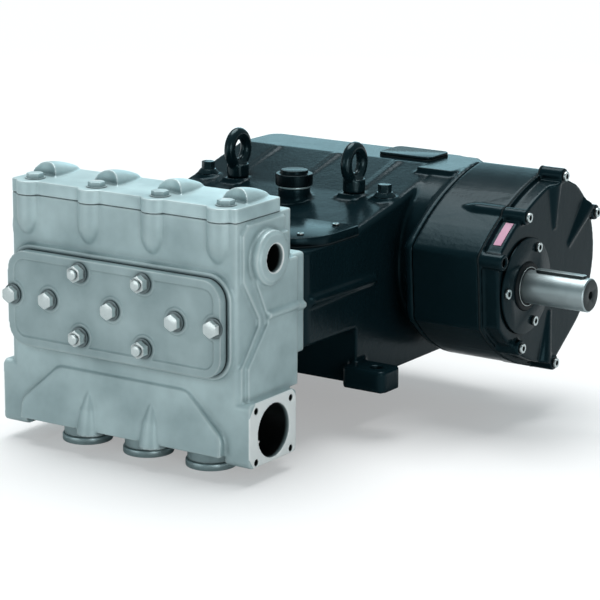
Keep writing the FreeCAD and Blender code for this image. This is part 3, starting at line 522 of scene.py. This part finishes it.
def port_group():
    """Masks of a port that is the same at both ends: its inside, where painted shade goes, and the
    milled rim round it.
    """
    tree, start, end = new_group("Port Masks", [
        ("Vector", "Vector", None), ("Centre Y", "Float", 0.0), ("Centre Z", "Float", 0.0),
        ("Spread Y", "Float", 0.0), ("Spread Z", "Float", 0.0), ("Radius", "Float", 0.02),
        ("Face", "Float", 0.244), ("Depth", "Float", 0.01), ("Rim", "Float", 0.002)],
        [("Inside", "Float"), ("Rim", "Float")])
    wall_blur, rim_blur = 0.0012, 0.0008
    face_from, face_to = 0.001, 0.003
    link = tree.links.new

    def maths(operation, *values):
        node = tree.nodes.new("ShaderNodeMath")
        node.operation = operation
        for socket, value in zip(node.inputs, values):
            if isinstance(value, float):
                socket.default_value = value
            else:
                link(value, socket)
        return node.outputs[0]

    def step(value, low, high):
        node = tree.nodes.new("ShaderNodeMapRange")
        node.interpolation_type = "SMOOTHSTEP"
        link(value, node.inputs["Value"])
        for label, bound in (("From Min", low), ("From Max", high)):
            if isinstance(bound, float):
                node.inputs[label].default_value = bound
            else:
                link(bound, node.inputs[label])
        return node.outputs["Result"]

    split = tree.nodes.new("ShaderNodeSeparateXYZ")
    link(start.outputs["Vector"], split.inputs[0])
    away = []
    for axis in ("Y", "Z"):
        offset = maths("SUBTRACT", split.outputs[axis], start.outputs["Centre " + axis])
        beside = maths("SUBTRACT", maths("ABSOLUTE", offset), start.outputs["Spread " + axis])
        away.append(maths("ABSOLUTE", beside))
    reach = maths("SQRT", maths("ADD", maths("POWER", away[0], 2.0), maths("POWER", away[1], 2.0)))
    width = maths("ABSOLUTE", split.outputs["X"])
    sunk = maths("SUBTRACT", start.outputs["Face"], width)
    past = step(reach, start.outputs["Radius"], maths("ADD", start.outputs["Radius"], wall_blur))
    hollow = maths("MULTIPLY", maths("SUBTRACT", 1.0, past), step(sunk, 0.0, start.outputs["Depth"]))
    link(hollow, end.inputs["Inside"])
    edge = maths("ADD", start.outputs["Radius"], start.outputs["Rim"])
    ring = maths("MULTIPLY", maths("SUBTRACT", 1.0, step(reach, edge, maths("ADD", edge, rim_blur))),
                 maths("SUBTRACT", 1.0, step(sunk, face_from, face_to)))
    link(ring, end.inputs["Rim"])


class Finish:
    """A material with the shared groups at hand; tone is the socket that holds its colour so far."""

    def __init__(self, name):
        self.material = bpy.data.materials.new(name)
        self.material.use_nodes = True
        self.tree = self.material.node_tree
        self.shader = self.tree.nodes["Principled BSDF"]
        self.place = self.node("TexCoord").outputs["Object"]
        self.tone = None

    def set(self, **values):
        """Sets inputs of the shader, with an underscore for each space in their names."""
        for label, value in values.items():
            self.shader.inputs[label.replace("_", " ")].default_value = value
        return self

    def node(self, kind):
        return self.tree.nodes.new("ShaderNode" + kind)

    def link(self, start, end):
        self.tree.links.new(start, end)

    def group(self, name, **values):
        """Adds a shared group, with its inputs named as in set."""
        node = self.node("Group")
        node.node_tree = bpy.data.node_groups[name]
        if "Vector" in node.inputs:
            self.link(self.place, node.inputs["Vector"])
        for label, value in values.items():
            node.inputs[label.replace("_", " ")].default_value = value
        return node

    def paint_with(self, socket):
        self.tone = socket
        self.link(socket, self.shader.inputs["Base Color"])

    def colour(self, low, high, scale, contrast):
        """A colour that drifts between two tones."""
        drift = self.group("Colour Drift", Scale=scale, Contrast=contrast,
                           Low=(*low, 1.0), High=(*high, 1.0))
        self.paint_with(drift.outputs["Colour"])

    def over(self, mask, colour, share=1.0):
        """Lays a share of a colour over the tone where a mask says."""
        dim = self.node("Math")
        dim.operation = "MULTIPLY"
        dim.inputs[1].default_value = share
        self.link(mask, dim.inputs[0])
        factor, under, cover, result = colour_mix(self.tree)
        self.link(dim.outputs[0], factor)
        self.link(self.tone, under)
        cover.default_value = (*colour, 1.0)
        self.paint_with(result)

    def edges(self, colour, start, full, share):
        """Lays a colour over the edges, from one pointiness to another."""
        mask = self.group("Rubbed Edges", Low=start, High=full)
        self.over(mask.outputs["Mask"], colour, share)

    def painted_shade(self, colour, reach, start, full, share):
        """Lays painted shade over the creases: a colour from one share of open sky down to another."""
        mask = self.group("Crevice Grime", Reach=reach, Low=start, High=full)
        self.over(mask.outputs["Mask"], colour, share)

    def grain(self, fine, coarse, share, height, smooth, rough):
        """Bumps the surface by a height in metres, and roughens it from its hollows to its heights."""
        grain = self.group("Cast Grain", Fine_Scale=fine, Coarse_Scale=coarse, Coarse_Share=share)
        bump = self.node("Bump")
        bump.inputs["Distance"].default_value = height
        self.link(grain.outputs["Height"], bump.inputs["Height"])
        self.link(bump.outputs["Normal"], self.shader.inputs["Normal"])
        spread = self.node("MapRange")
        spread.inputs["To Min"].default_value = smooth
        spread.inputs["To Max"].default_value = rough
        self.link(grain.outputs["Height"], spread.inputs["Value"])
        self.link(spread.outputs["Result"], self.shader.inputs["Roughness"])
        return grain


def shade(colour, factor):
    """A colour at a share of its lightness."""
    return tuple(channel * factor for channel in colour)


def cast_finish(name, share):
    """Sand-cast aluminium at a share of its full lightness, with painted highlights on edges and painted
    shade in creases.
    """
    finish = Finish(name).set(Metallic=0.25, Specular_IOR_Level=0.5)
    finish.colour(shade(colours().cast_dark, share), shade(colours().cast_light, share),
                  scale=11.0, contrast=2.6)
    # Painted highlight on the casting's edges.
    finish.edges(colours().machined, start=0.507, full=0.60, share=0.55)
    # Painted shade in the casting's creases, by ambient occlusion.
    finish.painted_shade(colours().cast_crevice_shade, castings().crevice_reach, start=0.92, full=0.48, share=0.93)
    finish.grain(fine=700.0, coarse=90.0, share=0.35, height=0.0004, smooth=0.34, rough=0.50)
    return finish


def cover_cast():
    """The valve cover's casting, a shade darker than the manifold."""
    return cast_finish("cover casting", 0.86).material


def head_cast():
    """The manifold head's casting, a shade lighter than the manifold."""
    return cast_finish("head casting", 1.22).material


def port_masks(finish, mount, radius, **values):
    """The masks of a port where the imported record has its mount; radius is the name of a dimension."""
    face, middle_y, middle_z = MOUNTS[mount]["pos_m"]
    return finish.group("Port Masks", Face=face, Centre_Y=middle_y, Centre_Z=middle_z,
                        Radius=MOUNTS[mount]["dims"][radius] * MILLIMETRE, **values)


def cast_metal():
    """The manifold's casting, milled on the inlet faces, with painted shade inside the ports."""
    finish = cast_finish("cast aluminium", 1.0)
    pattern = MOUNTS["inlet_bolts_right"]["dims"]
    inlet = port_masks(finish, "inlet_right", "r_mm", Rim=0.030)
    inlet_holes = port_masks(finish, "inlet_bolts_right", "hole_r_mm", Depth=0.004,
                             Spread_Y=pattern["spacing_x_mm"] / 2.0 * MILLIMETRE,
                             Spread_Z=pattern["spacing_y_mm"] / 2.0 * MILLIMETRE)
    outlet = port_masks(finish, "outlet_right", "r_mm", Rim=0.0018)
    for port in (inlet, outlet):
        finish.over(port.outputs["Rim"], colours().machined)
    # Painted shade inside the ports and the inlet's bolt holes.
    for port in (inlet, inlet_holes, outlet):
        finish.over(port.outputs["Inside"], colours().port_painted_shade)
    return finish.material


def machined_metal():
    """Turned aluminium of the valve plugs."""
    finish = Finish("machined aluminium").set(Metallic=0.5)
    finish.colour(colours().cast_dark, colours().cast_light, scale=30.0, contrast=1.2)
    finish.grain(fine=1800.0, coarse=300.0, share=0.3, height=0.00008, smooth=0.26, rough=0.40)
    return finish.material


def zinc():
    """Bright plating of the bolts, nuts and screws, with painted shade round their roots."""
    finish = Finish("bright zinc").set(Metallic=0.75)
    finish.colour(shade(colours().zinc, 0.85), colours().zinc, scale=60.0, contrast=1.5)
    # Painted shade round the roots of bolts and nuts.
    finish.painted_shade(colours().zinc_root_shade, reach=0.010, start=0.95, full=0.58, share=0.95)
    finish.grain(fine=1200.0, coarse=300.0, share=0.6, height=0.00001, smooth=0.16, rough=0.28)
    return finish.material


def washer_steel():
    """Darker steel of the washers on the valve cover: duller steel, and partly painted shade round the
    bolt heads, with painted shade in its creases.
    """
    finish = Finish("washer steel").set(Metallic=0.9)
    # Darker tone: duller steel, and partly painted shade round the bolt heads.
    finish.colour(shade(colours().washer, 0.6), colours().washer, scale=90.0, contrast=1.5)
    # Painted shade round the washers.
    finish.painted_shade(colours().washer_crevice_shade, reach=0.004, start=0.8, full=0.3, share=0.9)
    finish.grain(fine=1200.0, coarse=300.0, share=0.4, height=0.00001, smooth=0.28, rough=0.42)
    return finish.material


def gloss_paint():
    """Black gloss paint over the lumps of the casting, with painted shade in its creases."""
    finish = Finish("gloss black paint").set(
        Specular_IOR_Level=0.14, Specular_Tint=(*colours().paint_sheen, 1.0))
    finish.colour(shade(colours().paint, 0.7), colours().paint, scale=9.0, contrast=1.4)
    # Painted shade in the creases of the paint.
    finish.painted_shade(colours().paint_crevice_shade, reach=0.02, start=0.9, full=0.5, share=1.0)
    finish.grain(fine=150.0, coarse=26.0, share=0.65, height=0.0005, smooth=0.15, rough=0.28)
    return finish.material


def black_steel():
    """Blackened steel of the eyebolts and the bolts beside them, with painted highlights on its edges.
    """
    finish = Finish("black steel").set(
        Specular_IOR_Level=0.4, Specular_Tint=(*colours().steel_sheen, 1.0))
    finish.colour(shade(colours().paint, 0.6), colours().paint, scale=40.0, contrast=1.3)
    # Painted highlight on the edges.
    finish.edges(colours().steel_edge_highlight, start=0.55, full=0.66, share=0.4)
    finish.grain(fine=900.0, coarse=120.0, share=0.4, height=0.0001, smooth=0.14, rough=0.26)
    return finish.material


def ground_steel():
    """Ground steel, with fine rings round the shaft."""
    finish = Finish("ground steel").set(Metallic=1.0)
    finish.colour(shade(colours().ground_steel, 0.72), colours().ground_steel, scale=40.0, contrast=1.3)
    rings = finish.node("Mapping")
    rings.inputs["Scale"].default_value = (1.0, 0.02, 0.02)
    finish.link(finish.place, rings.inputs["Vector"])
    grain = finish.grain(fine=2600.0, coarse=700.0, share=0.4, height=0.00003, smooth=0.38, rough=0.52)
    finish.link(rings.outputs["Vector"], grain.inputs["Vector"])
    return finish.material


def shade_painted_steel():
    """Steel darkened as painted shadow and painted dark reflection on the shaft's end and the key's
    sides.
    """
    finish = Finish("dark steel").set(Metallic=0.8)
    finish.colour(colours().shade_painted_steel_low, colours().shade_painted_steel, scale=50.0, contrast=1.2)
    finish.grain(fine=1800.0, coarse=300.0, share=0.4, height=0.00004, smooth=0.30, rough=0.44)
    return finish.material


def rubber():
    """Lip seal round the shaft."""
    finish = Finish("rubber").set(Specular_IOR_Level=0.2)
    finish.colour(shade(colours().rubber, 0.7), shade(colours().rubber, 1.4), scale=80.0, contrast=1.2)
    finish.grain(fine=1500.0, coarse=200.0, share=0.5, height=0.0001, smooth=0.45, rough=0.62)
    return finish.material


def plastic():
    """Moulded plastic of the oil filler's cap."""
    finish = Finish("black plastic").set(
        Specular_IOR_Level=0.12, Specular_Tint=(*colours().paint_sheen, 1.0))
    finish.colour(shade(colours().rubber, 0.8), shade(colours().rubber, 1.2), scale=50.0, contrast=1.0)
    finish.grain(fine=500.0, coarse=80.0, share=0.5, height=0.00008, smooth=0.18, rough=0.30)
    return finish.material


def glass():
    """Sight glass with the oil behind it."""
    finish = Finish("sight glass").set(Transmission_Weight=0.85, IOR=1.5)
    finish.colour(colours().glass_low, colours().glass, scale=40.0, contrast=1.0)
    finish.grain(fine=300.0, coarse=60.0, share=0.5, height=0.00005, smooth=0.03, rough=0.07)
    return finish.material


def gasket_paper():
    """Paper gaskets in the joints of the covers."""
    finish = Finish("gasket").set(Specular_IOR_Level=0.1)
    finish.colour(colours().gasket_low, colours().gasket, scale=120.0, contrast=1.6)
    finish.grain(fine=1600.0, coarse=260.0, share=0.5, height=0.00012, smooth=0.6, rough=0.8)
    return finish.material


def label_film():
    """Printed film of the blank label."""
    finish = Finish("label film").set(Specular_IOR_Level=0.4)
    finish.colour(shade(colours().label, 0.85), colours().label, scale=90.0, contrast=1.2)
    finish.edges(shade(colours().label, 0.5), start=0.55, full=0.65, share=0.3)
    finish.grain(fine=1200.0, coarse=200.0, share=0.5, height=0.00004, smooth=0.25, rough=0.38)
    return finish.material


MAKERS = {
    "cast": cast_metal, "head cast": head_cast, "cover cast": cover_cast, "machined": machined_metal,
    "zinc": zinc, "washer": washer_steel, "paint": gloss_paint, "black steel": black_steel,
    "ground steel": ground_steel, "dark steel": shade_painted_steel, "rubber": rubber, "plastic": plastic,
    "glass": glass, "gasket": gasket_paper, "label": label_film}
finishes = {}


class PUMP_OT_finishes(bpy.types.Operator):
    """Makes the shared shader groups and the pump's materials"""
    bl_idname = "pump.finishes"
    bl_label = "Finishes"

    def execute(self, context):
        grain_group()
        drift_group()
        edge_group()
        crevice_group()
        port_group()
        for name, maker in MAKERS.items():
            finishes[name] = maker()
        return {"FINISHED"}


class PUMP_OT_manifold(bpy.types.Operator):
    """Softens the manifold's body, head and cover as cast pieces"""
    bl_idname = "pump.manifold"
    bl_label = "Manifold castings"

    def execute(self, context):
        sizes = castings()
        cast_piece("manifold_body", sizes.manifold_grain, finishes["cast"], "manifold_metal",
                   sizes.manifold_share)
        cast_piece("manifold_head", sizes.head_grain, finishes["head cast"], "manifold_metal")
        cast_piece("valve_cover", sizes.head_grain, finishes["cover cast"], "cover_metal")
        return {"FINISHED"}


class PUMP_OT_crankcase(bpy.types.Operator):
    """Softens the crankcase and the gear case as cast and painted pieces"""
    bl_idname = "pump.crankcase"
    bl_label = "Crankcase castings"

    def execute(self, context):
        sizes = castings()
        cast_piece("crankcase", sizes.crankcase_grain, finishes["paint"], "black_paint")
        for node in ("gear_housing", "gear_cover"):
            cast_piece(node, sizes.gear_case_grain, finishes["paint"], "black_paint")
        return {"FINISHED"}


class PUMP_OT_covers(bpy.types.Operator):
    """Breaks the edges of the flat covers and plates"""
    bl_idname = "pump.covers"
    bl_label = "Covers"

    def execute(self, context):
        bevel = castings().cover_bevel
        for node in ("bay_cover", "inspection_cover", "rear_cover", "side_bearing_cover",
                     "pinion_cover"):
            turned_piece(node, bevel, finishes["paint"], "black_paint")
        for node in ("valve_plug_1", "valve_plug_2", "valve_plug_3"):
            turned_piece(node, bevel, finishes["machined"], "plug_metal")
        turned_piece("oil_filler", bevel, finishes["plastic"], "filler_plastic")
        return {"FINISHED"}


class PUMP_OT_fasteners(bpy.types.Operator):
    """Breaks the edges of bolts, nuts and screws, and gives the washers a darker steel: duller steel,
    and partly painted shade round the bolt heads
    """
    bl_idname = "pump.fasteners"
    bl_label = "Fasteners"

    def execute(self, context):
        sizes = castings()
        slots = {row["node"]: row["material_slot"] for row in frame["record"]["subparts"]}
        for node in sorted(frame["nodes"]):
            if slots[node] != "bolt_steel":
                continue
            kind = node.rsplit("_", 1)[0]
            finish = finishes["head cast" if kind == "head_bolt" else "zinc"]
            piece = turned_piece(node, sizes.fastener_bevel, finish, "bolt_steel")
            if kind in WASHER_SEATS:
                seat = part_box(node)[0][1] + WASHER_SEATS[kind]
                front = seat - sizes.washer_height - SLACK
                second_finish(piece, finishes["washer"], lambda face: face.center[1] > front)
        for node in ("top_bolt_left", "top_bolt_right"):
            turned_piece(node, sizes.fastener_bevel, finishes["black steel"], "black_steel")
        return {"FINISHED"}


class PUMP_OT_eyebolts(bpy.types.Operator):
    """Forges the two eyebolts: a ring on a tall collar, blended together"""
    bl_idname = "pump.eyebolts"
    bl_label = "Eyebolts"

    def execute(self, context):
        sizes = castings()
        for node in ("eyebolt_left", "eyebolt_right"):
            low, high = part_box(node)
            x, y = centre(node)[:2]
            reach = (sizes.ring_radius + sizes.ring_wire) * sizes.ring_stretch
            middle = high[2] + sizes.ring_lift - reach
            piece = self.ring(x, y, middle)
            piece.name = node + "_forged"
            collar_top = middle - reach + sizes.ring_wire * sizes.collar_lap
            join_to(piece, self.collar(x, y, (high[0] - low[0]) / 2.0, low[2], collar_top))
            place_in_mesh(piece)
            soften(piece, sizes.ring_wire / sizes.ring_cells)
            apply_modifiers(piece)
            settle(piece, finishes["black steel"], "black_steel", BODY, node)
        return {"FINISHED"}

    def ring(self, x, y, middle):
        """A ring that stands upright, a little taller than wide."""
        sizes = castings()
        bpy.ops.object.select_all(action="DESELECT")
        bpy.ops.mesh.primitive_torus_add(
            major_radius=sizes.ring_radius, minor_radius=sizes.ring_wire, major_segments=72,
            minor_segments=24, location=(x, y, middle), rotation=(0.0, math.pi / 2.0, 0.0))
        ring = bpy.context.object
        ring.scale = (sizes.ring_stretch, 1.0, 1.0)
        place_in_mesh(ring)
        return ring

    def collar(self, x, y, radius, bottom, top):
        """A round collar with rounded edges."""
        bpy.ops.object.select_all(action="DESELECT")
        bpy.ops.mesh.primitive_cylinder_add(
            vertices=64, radius=radius, depth=top - bottom, location=(x, y, (top + bottom) / 2.0))
        collar = bpy.context.object
        bpy.ops.object.mode_set(mode="EDIT")
        bpy.ops.mesh.select_mode(type="EDGE")
        bpy.ops.mesh.select_all(action="SELECT")
        bpy.ops.mesh.bevel(offset=castings().collar_edge, segments=4, affect="EDGES")
        bpy.ops.object.mode_set(mode="OBJECT")
        return collar


class PUMP_OT_gaskets(bpy.types.Operator):
    """Lays the dark line of a gasket into the joint of each cover"""
    bl_idname = "pump.gaskets"
    bl_label = "Gaskets"

    def execute(self, context):
        half = castings().joint_thickness / 2.0
        for cover, name, axis, end in GASKETS:
            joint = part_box(cover)[end][axis]
            joint_line(cover, name, axis, joint - half if end else joint + half)
        return {"FINISHED"}


class PUMP_OT_drive(bpy.types.Operator):
    """Finishes the input shaft, its key and its seal, and the sight glass"""
    bl_idname = "pump.drive"
    bl_label = "Drive shaft"

    def execute(self, context):
        sizes = castings()
        bevel = sizes.fastener_bevel
        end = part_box("input_shaft")[1][0]
        axis = centre("shaft_seal")

        def dark(face):
            """Picks the faces that get painted shade: the shaft's end, and the walls of its centre hole,
            which face the axis.
            """
            if face.center.x > end - SLACK:
                return True
            outward = face.center - Vector((face.center.x, axis.y, axis.z))
            return (face.center.x > end - sizes.centre_hole_depth and abs(face.normal.x) < 0.9
                    and face.normal.dot(outward) < 0.0)

        shaft = turned_piece("input_shaft", bevel, finishes["ground steel"], "shaft_steel", SHAFT)
        # Painted shadow and painted dark reflection on the shaft's end and in its centre hole.
        second_finish(shaft, finishes["dark steel"], dark)
        key = turned_piece("shaft_key", bevel, finishes["ground steel"], "shaft_steel", SHAFT)
        # Painted shade and painted dark reflection on the key's sides.
        second_finish(key, finishes["dark steel"], lambda face: face.normal.z < 0.5)
        turned_piece("shaft_seal", bevel, finishes["rubber"], "seal_rubber")
        turned_piece("oil_sight_glass", bevel, finishes["glass"], "sight_glass")
        root = (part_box("shaft_seal")[1][0], axis.y, axis.z)
        ring = steel_ring("seal_ring", sizes.seal_ring_radius, sizes.seal_ring_length,
                          sizes.seal_ring_wall, root, (0.0, math.pi / 2.0, 0.0))
        settle(ring, finishes["zinc"], "bolt_steel", BODY)
        return {"FINISHED"}


class PUMP_OT_label(bpy.types.Operator):
    """Lays a small blank label on the side of the gear cover, and a washer under the oil filler"""
    bl_idname = "pump.label"
    bl_label = "Label and filler washer"

    def execute(self, context):
        sizes = castings()
        bpy.ops.object.select_all(action="DESELECT")
        bpy.ops.mesh.primitive_grid_add(x_subdivisions=10, y_subdivisions=20, size=1.0)
        label = context.object
        label.name = "gear_label"
        label.scale = (sizes.label_width, sizes.label_length, 1.0)
        label.rotation_euler = sizes.label_turn
        label.location = sizes.label_place
        place_in_mesh(label)
        hug = label.modifiers.new("hug", "SHRINKWRAP")
        hug.target = bpy.data.objects["gear_cover_casting"]
        hug.wrap_method = "NEAREST_SURFACEPOINT"
        hug.wrap_mode = "ABOVE_SURFACE"
        hug.offset = sizes.label_gap
        film = label.modifiers.new("film", "SOLIDIFY")
        film.thickness = sizes.label_thickness
        film.offset = 1.0
        apply_modifiers(label)
        only(label)
        bpy.ops.object.shade_smooth_by_angle(angle=SMOOTH_ANGLE)
        settle(label, finishes["label"], "cover_metal", BODY)

        x, y = centre("oil_filler")[:2]
        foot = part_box("oil_filler")[1][2] - sizes.filler_height
        washer = steel_ring("filler_washer", sizes.filler_washer_radius, sizes.filler_washer_height,
                            sizes.filler_washer_wall, (x, y, foot - sizes.filler_washer_height / 2.0),
                            (0.0, 0.0, 0.0))
        settle(washer, finishes["machined"], "bolt_steel", BODY)
        return {"FINISHED"}


class PUMP_OT_stage(bpy.types.Operator):
    """Sets the pale floor, the soft lights, the world and the camera"""
    bl_idname = "pump.stage"
    bl_label = "Studio"

    def execute(self, context):
        self.floor(context)
        self.lights(context)
        self.camera(context)
        context.scene.view_settings.view_transform = "Standard"
        return {"FINISHED"}

    def floor(self, context):
        """A floor that the camera sees pale, and that throws less light back onto the pump."""
        values = studio()
        level = CAD_BOX[0][2] - values.floor_gap
        bpy.ops.mesh.primitive_plane_add(size=values.floor_size, location=(0.0, 0.0, level))
        floor = context.object
        floor.name = "studio_floor"
        finish = Finish("studio floor").set(
            Roughness=0.9, Specular_IOR_Level=0.0, Emission_Color=(*WHITE, 1.0))
        path = finish.node("LightPath")
        factor, seen, bounced, tone = colour_mix(finish.tree)
        seen.default_value = (*shade(WHITE, values.floor_seen), 1.0)
        bounced.default_value = (*shade(WHITE, values.floor_bounce), 1.0)
        finish.link(path.outputs["Is Diffuse Ray"], factor)
        finish.paint_with(tone)
        glow = finish.node("Math")
        glow.operation = "MULTIPLY"
        glow.inputs[1].default_value = values.floor_glow
        finish.link(path.outputs["Is Camera Ray"], glow.inputs[0])
        finish.link(glow.outputs[0], finish.shader.inputs["Emission Strength"])
        floor.data.materials.append(finish.material)

    def lights(self, context):
        """A broad light overhead, the softboxes and an even sky."""
        values = studio()
        bpy.ops.object.light_add(type="SUN", rotation=values.sun_turn)
        sun = context.object
        sun.name = "overhead_light"
        sun.data.energy = values.sun
        sun.data.angle = values.sun_spread
        for name, place, width, aim, colour in SOFT_BOXES:
            bpy.ops.object.light_add(type="AREA", location=place)
            lamp = context.object
            lamp.name = name
            lamp.data.shape = "SQUARE"
            lamp.data.size = width
            lamp.data.energy = getattr(values, name)
            lamp.data.color = colour
            lamp.rotation_euler = (Vector(aim) - Vector(place)).to_track_quat("-Z", "Y").to_euler()
        world = bpy.data.worlds.new("studio_world")
        context.scene.world = world
        world.use_nodes = True
        sky = world.node_tree.nodes["Background"]
        sky.inputs["Color"].default_value = (*values.sky_colour, 1.0)
        sky.inputs["Strength"].default_value = values.sky

    def camera(self, context):
        """The camera that was fitted to the photograph."""
        values = studio()
        level = math.cos(values.elevation)
        back = Vector((math.sin(values.azimuth) * level, -math.cos(values.azimuth) * level,
                       math.sin(values.elevation)))
        bpy.ops.object.camera_add(location=Vector(values.aim) + back * values.distance)
        camera = context.object
        camera.data.sensor_width = 36.0
        camera.data.lens = values.lens
        camera.data.clip_end = 200.0
        roll = Euler((0.0, 0.0, values.roll)).to_matrix()
        camera.rotation_euler = ((-back).to_track_quat("-Z", "Y").to_matrix() @ roll).to_euler()
        context.scene.camera = camera


class PUMP_PT_sidebar(bpy.types.Panel):
    """Lists the pump's steps and sizes"""
    bl_idname = "PUMP_PT_sidebar"
    bl_label = "Plunger pump"
    bl_space_type = "VIEW_3D"
    bl_region_type = "UI"
    bl_category = "Pump"

    def draw(self, context):
        for step in STEPS:
            self.layout.operator(step.bl_idname)
        for group in (castings(), colours(), studio()):
            for name in group.__annotations__:
                self.layout.prop(group, name)


STEPS = (PUMP_OT_finishes, PUMP_OT_manifold, PUMP_OT_crankcase, PUMP_OT_covers, PUMP_OT_fasteners,
         PUMP_OT_eyebolts, PUMP_OT_gaskets, PUMP_OT_drive, PUMP_OT_label, PUMP_OT_stage)
CLASSES = (PumpCastings, PumpColours, PumpStudio, *STEPS, PUMP_PT_sidebar)


def register():
    for cls in CLASSES:
        bpy.utils.register_class(cls)
    bpy.types.Scene.pump_castings = PointerProperty(type=PumpCastings)
    bpy.types.Scene.pump_colours = PointerProperty(type=PumpColours)
    bpy.types.Scene.pump_studio = PointerProperty(type=PumpStudio)


def unregister():
    del bpy.types.Scene.pump_castings
    del bpy.types.Scene.pump_colours
    del bpy.types.Scene.pump_studio
    for cls in reversed(CLASSES):
        bpy.utils.unregister_class(cls)


def main():
    register()
    bpy.ops.pump.finishes()
    bpy.ops.pump.manifold()
    bpy.ops.pump.crankcase()
    bpy.ops.pump.covers()
    bpy.ops.pump.fasteners()
    bpy.ops.pump.eyebolts()
    bpy.ops.pump.gaskets()
    bpy.ops.pump.drive()
    bpy.ops.pump.label()
    bpy.ops.pump.stage()


if __name__ == "__main__":
    main()
